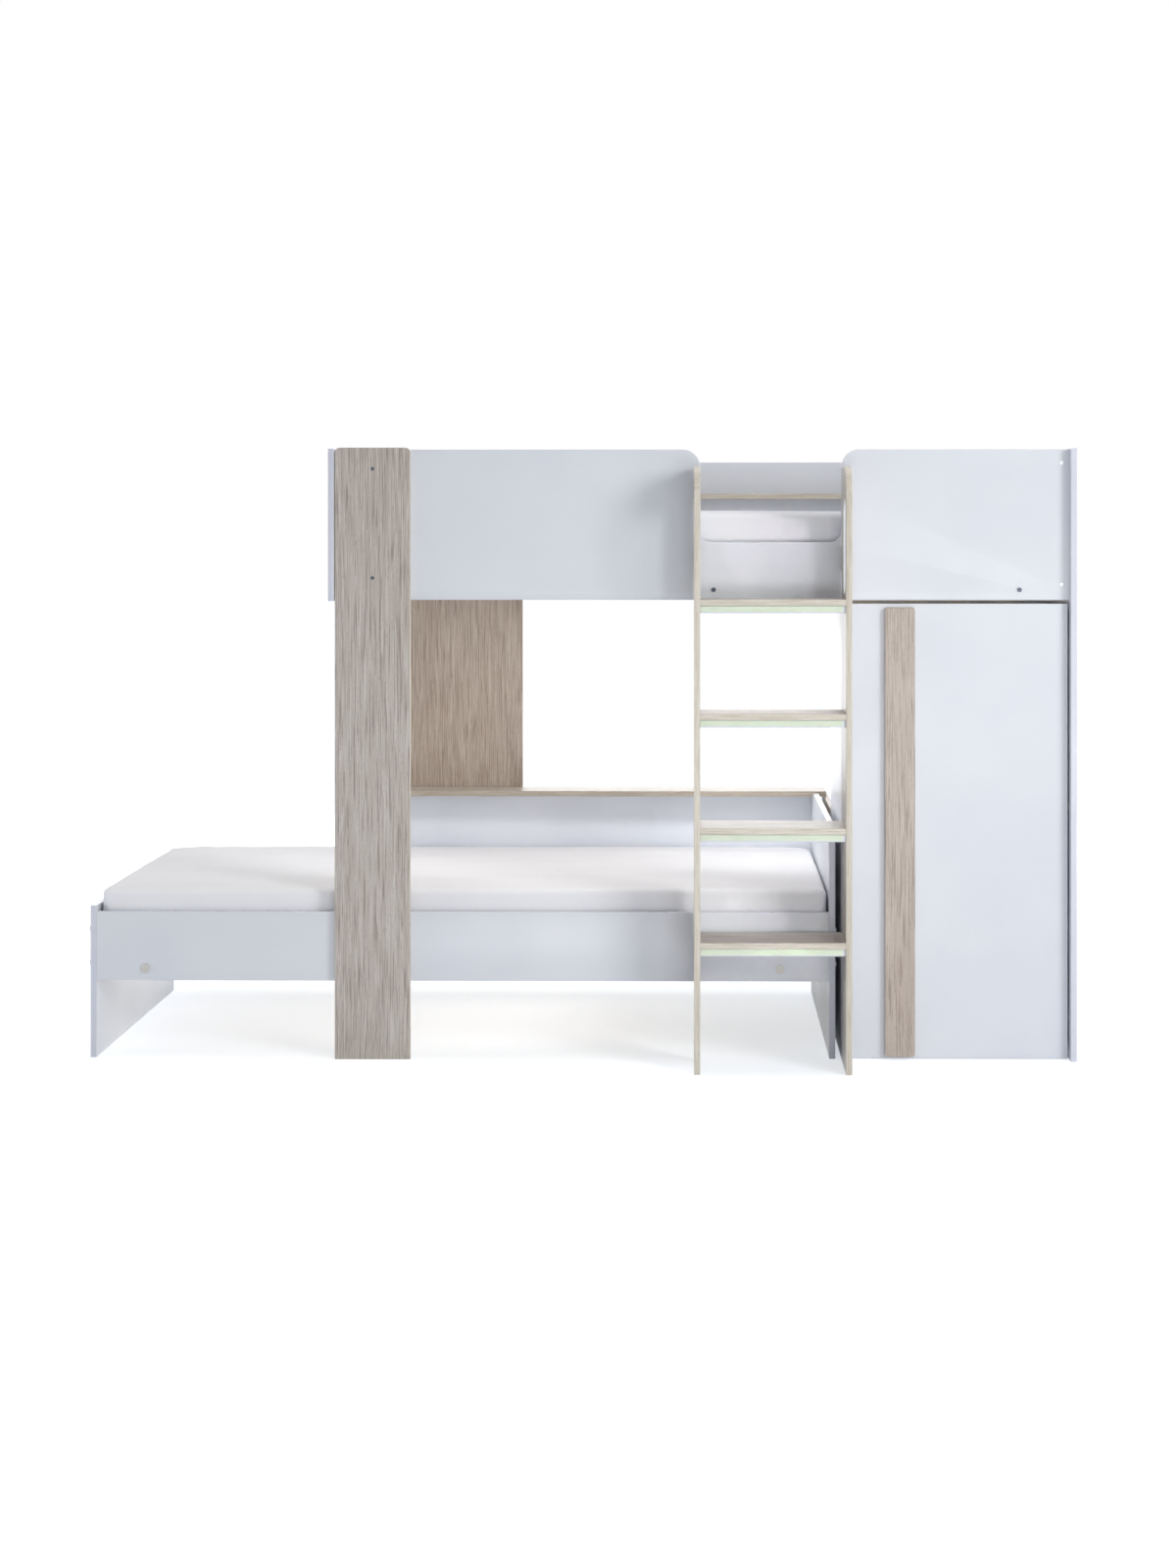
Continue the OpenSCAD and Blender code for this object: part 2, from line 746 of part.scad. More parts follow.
module bunk_shelf() {
    color(oak) place() difference() {
        block([bunk_in0, back_face - bunk_shelf_d, bunk_shelf_z],
            [bunk_in1, back_face, bunk_shelf_z + board_t]);
        for (x = shelf_screw_xs)
            hole([x, back_face, bunk_shelf_z + board_t / 2], "-y", shelf_screw_l - board_t + 1,
                screw_r + fit);
    }
}

module bunk_shelf_screws() {
    color(steel) place() for (x = shelf_screw_xs)
        screw([x, bed_back, bunk_shelf_z + board_t / 2], "-y", shelf_screw_l);
}

module bunk_battens() {
    color(pine) place() battens(bunk_in0, bunk_batten_z, bunk_batten_xs, bunk_batten_bolt_z);
}

module bunk_slats() {
    color(pine) place() slats(bunk_in0, bunk_batten_z + batten_h);
}

module bunk_mattress() {
    color(cloth) place() mattress(bunk_in0, bunk_batten_z + batten_h + slat_t);
}

module front_post() {
    color(oak) place() difference() {
        board_xz(-post_t, 0) difference() {
            translate([post_x, 0]) square([post_w, post_top]);
            translate([post_x, post_top]) corner_cut(post_r, 1, -1);
            translate([post_x + post_w, post_top]) corner_cut(post_r, -1, -1);
        }
        for (z = post_screw_zs) screw_hole([post_screw_x, -post_t, z], "+y", post_t + 1);
        head_relief([bunk_batten_xs[0], 0, bunk_batten_bolt_z], "-y");
    }
}

module post_screws() {
    color(steel) place() for (z = post_screw_zs) screw([post_screw_x, -post_t, z], "+y", post_screw_l);
}

module rear_oak_panel() {
    color(dark_oak) place() difference() {
        block([bunk_x0, bed_back, rail_z], [bunk_x0 + rear_panel_w, rear_face, guard_top - back_drop]);
        for (x = rear_screw_xs, z = rear_screw_zs) screw_hole([x, rear_face, z], "-y", board_t + 1);
        head_relief([bunk_batten_xs[0], bed_back, bunk_batten_bolt_z], "+y");
    }
}

module rear_panel_screws() {
    color(steel) place() for (x = rear_screw_xs, z = rear_screw_zs)
        screw([x, rear_face, z], "-y", rear_screw_l);
}

module guard_ring_bolts() {
    color(dark_steel) place() for (x = bunk_batten_xs)
        bolt([x, 0, bunk_batten_bolt_z], "+y", batten_bolt_l, head_r = ring_head_r);
}

module rear_batten_bolts() {
    color(dark_steel) place() for (x = bunk_batten_xs)
        bolt([x, bed_back, bunk_batten_bolt_z], "-y", batten_bolt_l, head_r = ring_head_r);
}

module bunk_corner_bolts() {
    color(steel) place() {
        corner_bolt_set(bunk_x0, "+x", bunk_bolt_zs);
        corner_bolt_set(bunk_x1, "-x", bunk_bolt_zs);
    }
}

module bunk_barrel_nuts() {
    color(steel) place() for (x = [bunk_in0 + nut_in, bunk_in1 - nut_in], z = bunk_bolt_zs) {
        barrel_nut([x, 0, z], "+y", "+x");
        barrel_nut([x, bed_back, z], "-y", "+x");
    }
}

// ---------------------------------------------------------------- ladder

stringer_mids = [ladder_in0 - board_t / 2, ladder_in1 + board_t / 2];

// A stringer's outline in (y, z): its top front corner is rounded, its hand-hold is a slot
module stringer_outline() {
    difference() {
        translate([ladder_y0, 0]) square([ladder_d, stringer_h]);
        translate([ladder_y0, stringer_h]) corner_cut(stringer_r, 1, -1);
        translate([slot_mid_y, slot_z0]) stadium(slot_w, slot_l);
    }
}

// A stringer from x0: tread screws from its outer face, bolts and nuts at its rear edge
module stringer(x0, outer_x, to) {
    difference() {
        board_yz(x0, x0 + board_t) stringer_outline();
        for (y = tread_screw_ys, z = tread_tops) screw_hole([outer_x, y, z - board_t / 2], to, board_t + 1);
        for (z = ladder_bolt_zs) {
            hole([x0 + board_t / 2, ladder_y1, z], "-y", ladder_nut_in + bolt_past_nut, bolt_r + fit);
            hole([outer_x, ladder_y1 - ladder_nut_in, z], to, nut_l + 1, nut_r);
        }
    }
}

module ladder_stringer_left() {
    color(oak) place() stringer(ladder_in0 - board_t, ladder_in0 - board_t, "+x");
}

module ladder_stringer_right() {
    color(oak) place() stringer(ladder_in1, ladder_in1 + board_t, "-x");
}

// A slot's plastic liner: a thin sleeve with a lip on both faces of the stringer
module slot_liner(x0) {
    hole_w = slot_w - 2 * liner_t;
    lip_w = slot_w + 2 * liner_lip;
    translate([0, slot_mid_y, slot_z0]) difference() {
        union() {
            board_yz(x0 - liner_lip_t, x0 + board_t + liner_lip_t) translate([0, fit])
                stadium(slot_w - 2 * fit, slot_l - 2 * fit);
            for (x = [x0 - liner_lip_t, x0 + board_t])
                board_yz(x, x + liner_lip_t) translate([0, -liner_lip])
                    stadium(lip_w, slot_l + 2 * liner_lip);
        }
        board_yz(x0 - board_t, x0 + 2 * board_t) translate([0, liner_t])
            stadium(hole_w, slot_l - 2 * liner_t);
    }
}

module slot_liner_left() {
    color(white) place() slot_liner(ladder_in0 - board_t);
}

module slot_liner_right() {
    color(white) place() slot_liner(ladder_in1);
}

module tread(i) {
    color(oak) place() difference() {
        block([ladder_in0, ladder_y0, tread_tops[i] - board_t], [ladder_in1, ladder_y1, tread_tops[i]]);
        for (y = tread_screw_ys) {
            hole([ladder_in0, y, tread_tops[i] - board_t / 2], "+x", tread_screw_in_wood, screw_r + fit);
            hole([ladder_in1, y, tread_tops[i] - board_t / 2], "-x", tread_screw_in_wood, screw_r + fit);
        }
    }
}

module tread_laths() {
    color(white) place() for (z = tread_tops)
        block([ladder_in0, ladder_y0 + lath_back, z - board_t - lath_h],
            [ladder_in1, ladder_y0 + lath_back + lath_t, z - board_t]);
}

// Strips that glow in the dark, on the laths' front faces
module glow_strips() {
    color(glow) place() for (z = tread_tops)
        block([ladder_in0 + 1, ladder_y0 + lath_back - strip_t, z - board_t - 1 - strip_h],
            [ladder_in1 - strip_short, ladder_y0 + lath_back, z - board_t - 1]);
}

module tread_screws() {
    color(steel) place() for (y = tread_screw_ys, z = tread_tops) {
        screw([ladder_in0 - board_t, y, z - board_t / 2], "+x", tread_screw_l);
        screw([ladder_in1 + board_t, y, z - board_t / 2], "-x", tread_screw_l);
    }
}

// Blocks that fill the space between the stringers and the guard at each bolt
module ladder_spacers() {
    color(oak) place() for (x = stringer_mids, z = ladder_bolt_zs) difference() {
        block([x - board_t / 2, -post_t, z - spacer_h / 2], [x + board_t / 2, 0, z + spacer_h / 2]);
        hole([x, 0, z], "-y", post_t + 1, bolt_r + fit);
    }
}

module ladder_bolts() {
    color(steel) place() for (x = stringer_mids, z = ladder_bolt_zs)
        bolt([x, board_t, z], "-y", board_t + post_t + ladder_nut_in + bolt_past_nut - 2);
}

module ladder_nuts() {
    color(steel) place() for (z = ladder_bolt_zs) {
        barrel_nut([ladder_in0 - board_t, ladder_y1 - ladder_nut_in, z], "+x", "+y");
        barrel_nut([ladder_in1 + board_t, ladder_y1 - ladder_nut_in, z], "-x", "+y");
    }
}

// ---------------------------------------------------------------- wardrobe

// What both sides of the wardrobe have: screw holes and the groove for its back
module wardrobe_side_bores(outer_x, inner_x, to) {
    for (y = wardrobe_screw_ys, z = wardrobe_board_zs)
        screw_hole([outer_x, y, z + board_t / 2], to, board_t + 1);
    block([inner_x - groove, board_back, wardrobe_bottom_z - fit],
        [inner_x + groove, board_back + back_t + 2 * fit, wardrobe_top_z + board_t + fit]);
}

module wardrobe_left_side() {
    color(white) place() difference() {
        block([wardrobe_x0, -post_t, 0], [wardrobe_in0, wardrobe_y1, bunk_z]);
        wardrobe_side_bores(wardrobe_x0, wardrobe_in0, "+x");
        rail_socket_holes(wardrobe_in0, "-x");
    }
}

module right_side_panel() {
    color(white) place() difference() {
        block([bunk_in1, -side_front, 0], [bunk_x1, bed_back, side_top]);
        wardrobe_side_bores(bunk_x1, bunk_in1, "-x");
        corner_hole_set(bunk_x1, "-x", bunk_bolt_zs);
        rail_socket_holes(bunk_in1, "+x");
        for (z = hinge_zs, dz = wing_screw_dzs)
            hole([bunk_in1, plate_y, z + dz], "+x", wing_screw_l - wing_t + fine_end_gap, fine_r + fit);
    }
}

// A board of the wardrobe between its sides
module wardrobe_board(z) {
    difference() {
        block([wardrobe_in0, board_front, z], [wardrobe_in1, board_back, z + board_t]);
        for (y = wardrobe_screw_ys) {
            hole([wardrobe_in0, y, z + board_t / 2], "+x", wardrobe_screw_in_wood, screw_r + fit);
            hole([wardrobe_in1, y, z + board_t / 2], "-x", wardrobe_screw_in_wood, screw_r + fit);
        }
    }
}

module wardrobe_bottom() {
    color(white) place() wardrobe_board(wardrobe_bottom_z);
}

module wardrobe_shelf() {
    color(white) place() wardrobe_board(shelf_z - board_t);
}

module wardrobe_top() {
    color(white) place() wardrobe_board(wardrobe_top_z);
}

module wardrobe_back() {
    color(white) place() block([wardrobe_in0 - groove + fit, board_back + fit, wardrobe_bottom_z],
        [wardrobe_in1 + groove - fit, board_back + fit + back_t, wardrobe_top_z + board_t]);
}

module wardrobe_screws() {
    color(steel) place() for (y = wardrobe_screw_ys, z = wardrobe_board_zs) {
        screw([wardrobe_x0, y, z + board_t / 2], "+x", wardrobe_screw_l);
        screw([bunk_x1, y, z + board_t / 2], "-x", wardrobe_screw_l);
    }
}

module hanging_rail() {
    color(steel) place() aim([wardrobe_in0 + socket_wall + fit, hang_y, hang_z], "+x") difference() {
        cylinder(h = wardrobe_in1 - wardrobe_in0 - 2 * (socket_wall + fit), r = hang_r);
        translate([0, 0, -1]) cylinder(h = big, r = hang_r - hang_wall);
    }
}

// A cup that holds an end of the hanging rail, with a pin into the side
module rail_socket(x, to) {
    aim([x, hang_y, hang_z], to) difference() {
        union() {
            cylinder(h = socket_d, r = socket_out_r);
            translate([0, 0, -socket_pin_l]) cylinder(h = socket_pin_l, r = screw_r);
        }
        translate([0, 0, socket_wall]) cylinder(h = socket_d, r = hang_r + nut_fit);
    }
}

module rail_socket_holes(x, to) {
    hole([x, hang_y, hang_z], to, socket_pin_l + 1, screw_r + fit);
}

module rail_sockets() {
    color(steel) place() {
        rail_socket(wardrobe_in0, "+x");
        rail_socket(wardrobe_in1, "-x");
    }
}

// The low oak panel that closes the side of the niche behind the wardrobe
module rear_side_panel() {
    color(dark_oak) place() block([wardrobe_x0, wardrobe_y1, 0], [wardrobe_in0, bed_back, ledge_z]);
}

// ---------------------------------------------------------------- door

module wardrobe_door() {
    color(white) place() difference() {
        block([door_x0, 0, door_floor_gap], [door_x1, board_t, door_z1]);
        for (z = hinge_zs) hole([cup_x, board_t, z], "-y", cup_deep + fit, cup_r + nut_fit);
        for (z = hinge_zs, dz = cup_screw_dzs)
            hole([cup_x, board_t, z + dz], "-y", cup_screw_l - cup_flange_t + fine_end_gap, fine_r + fit);
        for (z = handle_screw_zs) screw_hole([handle_x0 + handle_w / 2, board_t, z], "-y", board_t + 1);
    }
}

module handle_plank() {
    color(oak) place() difference() {
        board_xz(-board_t, 0) translate([handle_x0, handle_z0])
            rounded(handle_w, handle_z1 - handle_z0, handle_r);
        for (z = handle_screw_zs)
            hole([handle_x0 + handle_w / 2, 0, z], "-y", handle_screw_l - board_t + 1, screw_r + fit);
    }
}

module handle_screws() {
    color(steel) place() for (z = handle_screw_zs)
        screw([handle_x0 + handle_w / 2, board_t, z], "-y", handle_screw_l);
}

// A steel cup in its own frame: its flange's underside at the origin, its floor up +Z
module hinge_cup() {
    difference() {
        union() {
            cylinder(h = cup_deep, r = cup_r);
            translate([0, 0, -cup_flange_t]) {
                cylinder(h = cup_flange_t, r = cup_r + cup_rim);
                linear_extrude(cup_flange_t) translate([0, -cup_flange_l / 2])
                    stadium(cup_flange_w, cup_flange_l);
            }
        }
        translate([0, 0, -cup_flange_t - 1])
            cylinder(h = cup_deep + cup_flange_t + 1 - cup_wall, r = cup_r - cup_wall);
        for (dz = cup_screw_dzs) translate([0, dz, -cup_flange_t - 1])
            cylinder(h = cup_flange_t + 2, r = fine_r + fit);
    }
}

// Cups let into the door's rear face, each with two screws through its flange
module hinge_cups() {
    color(steel) place() for (z = hinge_zs) {
        aim([cup_x, board_t, z], "-y") hinge_cup();
        for (dz = cup_screw_dzs) fine_screw([cup_x, board_t + cup_flange_t, z + dz], "-y", cup_screw_l);
    }
}

// A mounting plate: a raised bed under the arm and two wings with a screw in each
module hinge_plate(z) {
    difference() {
        union() {
            block([plate_face, plate_y - plate_l / 2, z - plate_w / 2],
                [wardrobe_in1, plate_y + plate_l / 2, z + plate_w / 2]);
            board_yz(wardrobe_in1 - wing_t, wardrobe_in1) translate([plate_y, z - wing_l / 2])
                stadium(wing_w, wing_l);
        }
        for (dz = wing_screw_dzs)
            hole([wardrobe_in1 - wing_t, plate_y, z + dz], "+x", wing_t + 1, fine_r + fit);
        hole([plate_face, arm_fix_y, z], "+x", plate_t + 1, fine_r + fit);
    }
}

module hinge_plates() {
    color(steel) place() for (z = hinge_zs) {
        hinge_plate(z);
        for (dz = wing_screw_dzs)
            fine_screw([wardrobe_in1 - wing_t, plate_y, z + dz], "+x", wing_screw_l);
    }
}

// An arm's outline in (x, y): along the plate, cranked behind the door, with a tongue into the cup
module arm_outline() {
    polygon([
        [plate_face, arm_back],
        [plate_face, arm_front + arm_bevel],
        [plate_face - arm_bevel, arm_front],
        [tongue_x1, arm_front],
        [tongue_x1, tongue_y],
        [tongue_x0, tongue_y],
        [tongue_x0, arm_front + arm_nose_t],
        [plate_face - arm_h - arm_crank, arm_front + arm_nose_t],
        [plate_face - arm_h, arm_front + arm_nose_t + arm_crank],
        [plate_face - arm_h, arm_back]
    ]);
}

// Arms on the plates, each with its fixing screw, its setting screw and its pin
module hinge_arms() {
    color(steel) place() for (z = hinge_zs) {
        difference() {
            translate([0, 0, z - arm_w / 2]) linear_extrude(arm_w) arm_outline();
            for (y = [arm_set_y, arm_fix_y])
                hole([plate_face - arm_h, y, z], "+x", arm_h + 1, fine_r + fit);
            translate([pin_x, pin_y, z - arm_w]) cylinder(h = 2 * arm_w, r = pin_r + nut_fit);
        }
        fine_screw([plate_face - arm_h, arm_fix_y, z], "+x", arm_h + plate_t - fine_end_gap);
        fine_screw([plate_face - arm_h, arm_set_y, z], "+x", arm_h - fine_end_gap);
        translate([pin_x, pin_y, z - pin_l / 2]) cylinder(h = pin_l, r = pin_r);
    }
}

lower_footboard();
lower_headboard();
lower_front_rail();
lower_rear_rail();
lower_back_board();
back_ledge();
lower_battens();
lower_slats();
lower_mattress();
lower_corner_bolts();
lower_barrel_nuts();
lower_batten_bolts();
rail_cover_caps();
ledge_dowels();
bunk_guard();
bunk_left_end();
bunk_back_panel();
bunk_shelf();
bunk_battens();
bunk_slats();
bunk_mattress();
front_post();
rear_oak_panel();
post_screws();
rear_panel_screws();
guard_ring_bolts();
rear_batten_bolts();
bunk_corner_bolts();
bunk_barrel_nuts();
bunk_shelf_screws();
ladder_stringer_left();
ladder_stringer_right();
slot_liner_left();
slot_liner_right();
tread(0);  // tread_1
tread(1);  // tread_2
tread(2);  // tread_3
tread(3);  // tread_4
tread_laths();
glow_strips();
tread_screws();
ladder_spacers();
ladder_bolts();
ladder_nuts();
wardrobe_left_side();
right_side_panel();
wardrobe_bottom();
wardrobe_top();
wardrobe_shelf();
wardrobe_back();
wardrobe_screws();
hanging_rail();
rail_sockets();
rear_side_panel();
wardrobe_door();
handle_plank();
handle_screws();
hinge_cups();
hinge_arms();
hinge_plates();
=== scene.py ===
"""Looks for an offset bunk bed with a ladder and a wardrobe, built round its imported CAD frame."""

import logging
import math
from dataclasses import dataclass, field
from enum import Enum

import bmesh
import bpy
from bpy.types import Material, Node, NodeSocket, NodeTree, Object, ShaderNodeTree, World
from mathutils import Matrix, Vector, noise

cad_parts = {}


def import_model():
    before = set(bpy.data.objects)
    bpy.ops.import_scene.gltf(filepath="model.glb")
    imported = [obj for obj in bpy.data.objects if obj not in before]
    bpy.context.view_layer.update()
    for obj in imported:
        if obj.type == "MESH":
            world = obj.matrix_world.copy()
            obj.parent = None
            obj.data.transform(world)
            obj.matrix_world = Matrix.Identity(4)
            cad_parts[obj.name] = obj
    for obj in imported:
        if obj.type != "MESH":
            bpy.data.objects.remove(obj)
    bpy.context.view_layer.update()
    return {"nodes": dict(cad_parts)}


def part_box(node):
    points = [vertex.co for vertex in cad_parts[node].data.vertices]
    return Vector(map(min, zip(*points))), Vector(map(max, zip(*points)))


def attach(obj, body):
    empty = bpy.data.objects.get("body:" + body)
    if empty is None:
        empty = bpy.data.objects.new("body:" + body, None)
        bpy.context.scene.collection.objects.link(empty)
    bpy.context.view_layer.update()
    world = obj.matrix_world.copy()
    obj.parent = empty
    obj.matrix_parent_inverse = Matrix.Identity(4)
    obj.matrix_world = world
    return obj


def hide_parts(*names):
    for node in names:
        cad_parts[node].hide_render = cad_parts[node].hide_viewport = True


LOG = logging.getLogger("bunk_bed")

FIXED_BODY = "bunk_frame"
DOOR_BODY = "door"

Colour = tuple[float, float, float]
Tones = tuple[Colour, Colour, Colour]
Triple = tuple[float, float, float]
Inputs = dict[str, object]


def srgb(red: int, green: int, blue: int) -> Colour:
    """Turns a display colour into scene-linear values.

    Args:
        red: Red, 0 to 255.
        green: Green, 0 to 255.
        blue: Blue, 0 to 255.

    Returns:
        The three linear values.
    """
    return tuple(
        (v / 12.92) if v <= 0.04045 else ((v + 0.055) / 1.055) ** 2.4
        for v in (red / 255, green / 255, blue / 255)
    )


class Axis(Enum):
    """The way a board's grain runs. The value is the turn that lays the grain's Z along it."""

    X = (0.0, -math.pi / 2, 0.0)
    Y = (math.pi / 2, 0.0, 0.0)
    Z = (0.0, 0.0, 0.0)


# ---------------- node wiring


@dataclass(frozen=True)
class Layer:
    """One noise of a pattern, and the values at which it shows.

    Attributes:
        cells: Cells per metre.
        detail: Octaves.
        rough: Strength of the finer octaves.
        start: The noise's value at which it starts to show.
        full: The value from which it shows fully.
        most: How strongly it shows then.
        share: How much of it goes into the colour at full contrast.
    """

    cells: float
    detail: float
    rough: float
    start: float
    full: float
    most: float = 1.0
    share: float = 1.0


@dataclass(frozen=True)
class Wiring:
    """Adds and joins the nodes of one shader tree.

    Attributes:
        tree: The tree that is wired.
    """

    tree: NodeTree

    @classmethod
    def fresh(cls, owner: Material | World) -> "Wiring":
        """Empties the tree of a material or a world.

        Args:
            owner: The material or the world.

        Returns:
            The wiring of its tree.
        """
        owner.use_nodes = True
        owner.node_tree.nodes.clear()
        return cls(owner.node_tree)

    def add(self, kind: str, *terms: object, **values: object) -> Node:
        """Adds a node.

        Args:
            kind: The node's type.
            terms: Its first inputs.
            values: Its properties.

        Returns:
            The node.
        """
        node = self.tree.nodes.new(kind)
        for key, value in values.items():
            setattr(node, key, value)
        for i, term in enumerate(terms):
            self.put(term, node.inputs[i])
        return node

    def put(self, source: object, target: NodeSocket) -> None:
        """Links a socket to an input, or sets a constant on it.

        Args:
            source: An output socket, a number or a tuple.
            target: The input that takes it.
        """
        if isinstance(source, NodeSocket):
            self.tree.links.new(source, target)
        elif isinstance(source, tuple) and len(source) == 3 and target.type == "RGBA":
            target.default_value = (*source, 1.0)
        else:
            target.default_value = source

    def fill(self, node: Node, named: Inputs) -> Node:
        """Fills a node's inputs by their names.

        Args:
            node: The node.
            named: What goes into its inputs.

        Returns:
            The node.
        """
        for name, term in named.items():
            self.put(term, node.inputs[name])
        return node

    def math(self, operation: str, *terms: object) -> NodeSocket:
        """Gives the result of a Math node with up to three inputs."""
        return self.add("ShaderNodeMath", *terms, operation=operation).outputs[0]

    def times(self, one: object, other: object) -> NodeSocket:
        """Multiplies two values."""
        return self.math("MULTIPLY", one, other)

    def vector(self, operation: str, *terms: object) -> NodeSocket:
        """Gives the vector that a Vector Math node makes of its inputs."""
        return self.add("ShaderNodeVectorMath", *terms, operation=operation).outputs[0]

    def join(self, x: object, y: object, z: object) -> NodeSocket:
        """Joins three values into a vector."""
        return self.add("ShaderNodeCombineXYZ", x, y, z).outputs[0]

    def mix(self, factor: object, low: object, high: object) -> NodeSocket:
        """Mixes two colours.

        Args:
            factor: 0 for the first, 1 for the second.
            low: The first colour.
            high: The second colour.

        Returns:
            The mixed colour.
        """
        node = self.add("ShaderNodeMix", factor, data_type="RGBA")
        self.put(low, node.inputs[6])
        self.put(high, node.inputs[7])
        return node.outputs[2]

    def remap(
        self, value: object, low: float, high: float, to_low: float = 0.0, to_high: float = 1.0
    ) -> NodeSocket:
        """Maps a range of values to another, held inside it.

        Args:
            value: The value.
            low: The start of its range.
            high: The end of its range.
            to_low: What the start becomes.
            to_high: What the end becomes.

        Returns:
            The mapped value.
        """
        terms = (value, low, high, to_low, to_high)
        node = self.add("ShaderNodeMapRange", *terms, interpolation_type="SMOOTHSTEP")
        return node.outputs["Result"]

    def noise(self, vector: object, scale: object, detail: float, rough: float = 0.5) -> NodeSocket:
        """Adds a noise texture.

        Args:
            vector: Where it is read.
            scale: Cells per metre.
            detail: Octaves.
            rough: Strength of the finer octaves.

        Returns:
            The noise, about 0.5 in the middle.
        """
        named = {"Vector": vector, "Scale": scale, "Detail": detail, "Roughness": rough}
        return self.fill(self.add("ShaderNodeTexNoise"), named).outputs[0]

    def layer(
        self, vector: object, layer: Layer, cells: object = None
    ) -> tuple[NodeSocket, NodeSocket]:
        """Adds a layer of a pattern.

        Args:
            vector: Where it is read.
            layer: The layer.
            cells: Cells per metre, if not the layer's own.

        Returns:
            Its noise, and the mask of where it shows.
        """
        scale = layer.cells if cells is None else cells
        raw = self.noise(vector, scale, layer.detail, layer.rough)
        return raw, self.remap(raw, layer.start, layer.full, 0.0, layer.most)

    def directly_seen(self) -> NodeSocket:
        """Tells the rays that show a surface from those that only carry its light.

        Returns:
            1 for rays from the camera, mirrored or let through, and 0 for others.
        """
        path = self.add("ShaderNodeLightPath").outputs
        seen = self.math("MAXIMUM", path["Is Camera Ray"], path["Is Glossy Ray"])
        return self.math("MAXIMUM", seen, path["Is Transmission Ray"])


class Effect:
    """A shader node group with named sockets, built once and placed in many materials.

    Attributes:
        name: The group's name.
        takes: Its inputs with their usual values, None for a vector.
        gives: Its outputs with their kinds.
    """

    name = ""
    takes: dict[str, object] = {}
    gives: dict[str, str] = {}

    def tree(self) -> ShaderNodeTree:
        """Finds the group, or builds it the first time.

        Returns:
            The node group.
        """
        if self.name in bpy.data.node_groups:
            return bpy.data.node_groups[self.name]
        tree = bpy.data.node_groups.new(self.name, "ShaderNodeTree")
        add = tree.interface.new_socket
        for name, value in self.takes.items():
            kind = "Vector" if value is None else "Color" if isinstance(value, tuple) else "Float"
            socket = add(name, in_out="INPUT", socket_type=f"NodeSocket{kind}")
            if value is not None:
                socket.default_value = (*value, 1.0) if kind == "Color" else value
        for name, kind in self.gives.items():
            add(name, in_out="OUTPUT", socket_type=f"NodeSocket{kind}")
        w = Wiring(tree)
        self.wire(w, w.add("NodeGroupInput").outputs, w.add("NodeGroupOutput").inputs)
        return tree

    def wire(self, w: Wiring, entry: object, leave: object) -> None:
        """Wires the inside of the group.

        Args:
            w: The group's wiring.
            entry: The group's inputs, by name.
            leave: The group's outputs, by name.
        """
        raise NotImplementedError

    def place(self, w: Wiring, **values: object) -> object:
        """Places the group in a material.

        Args:
            w: The material's wiring.
            values: Its inputs by name.

        Returns:
            The group's outputs, by name.
        """
        return w.fill(w.add("ShaderNodeGroup", node_tree=self.tree()), values).outputs


class WoodGrain(Effect):
    """Straight printed grain along the vector's Z: patches, pale lines, dark veins and pores."""

    name = "wood_grain"
    takes = {
        "Vector": None,
        "Light": (0.5, 0.5, 0.5),
        "Middle": (0.4, 0.4, 0.4),
        "Dark": (0.3, 0.3, 0.3),
        "Stretch": 0.018,
        "Fineness": 1.0,
        "Contrast": 1.0,
    }
    gives = {"Color": "Color", "Height": "Float", "Pores": "Float"}
    drift_scale: Triple = (1.6, 1.6, 0.9)
    drift_cells = 2.2
    sway_metres = 0.010
    patch_scale: Triple = (1.0, 1.0, 4.0)
    pore_scale: Triple = (1.0, 1.0, 5.0)
    patches = Layer(15.0, 2.0, 0.5, 0.36, 0.64, most=0.25)
    lines = Layer(330.0, 2.0, 0.55, 0.50, 0.60, share=0.75)
    veins = Layer(400.0, 2.0, 0.6, 0.52, 0.62, share=0.75)
    pores = Layer(700.0, 1.0, 0.5, 0.60, 0.74, share=0.5)
    vein_height = -0.5
    pore_height = -0.8

    def wire(self, w: Wiring, entry: object, leave: object) -> None:
        """Wires the grain.

        Args:
            w: The group's wiring.
            entry: The group's inputs, by name.
            leave: The group's outputs, by name.
        """
        drift_at = w.vector("MULTIPLY", entry["Vector"], self.drift_scale)
        drift = w.noise(drift_at, self.drift_cells, 1.0)
        sway = w.times(w.math("SUBTRACT", drift, 0.5), self.sway_metres)
        moved = w.vector("ADD", entry["Vector"], w.join(sway, sway, 0.0))
        long = w.vector("MULTIPLY", moved, w.join(1.0, 1.0, entry["Stretch"]))
        fine = w.vector("SCALE", long)
        w.put(entry["Fineness"], fine.node.inputs["Scale"])
        tone = w.layer(w.vector("MULTIPLY", long, self.patch_scale), self.patches)[1]
        pale = w.layer(fine, self.lines)[1]
        veins, deep = w.layer(fine, self.veins)
        pits = w.layer(w.vector("MULTIPLY", fine, self.pore_scale), self.pores)[1]
        body = w.mix(tone, entry["Middle"], entry["Light"])
        for mask, layer, colour in (
            (pale, self.lines, "Light"), (deep, self.veins, "Dark"), (pits, self.pores, "Dark"),
        ):
            strength = w.times(mask, w.times(entry["Contrast"], layer.share))
            body = w.mix(strength, body, entry[colour])
        w.put(body, leave["Color"])
        height = w.math("ADD", w.times(veins, self.vein_height), w.times(pits, self.pore_height))
        w.put(height, leave["Height"])
        w.put(pits, leave["Pores"])


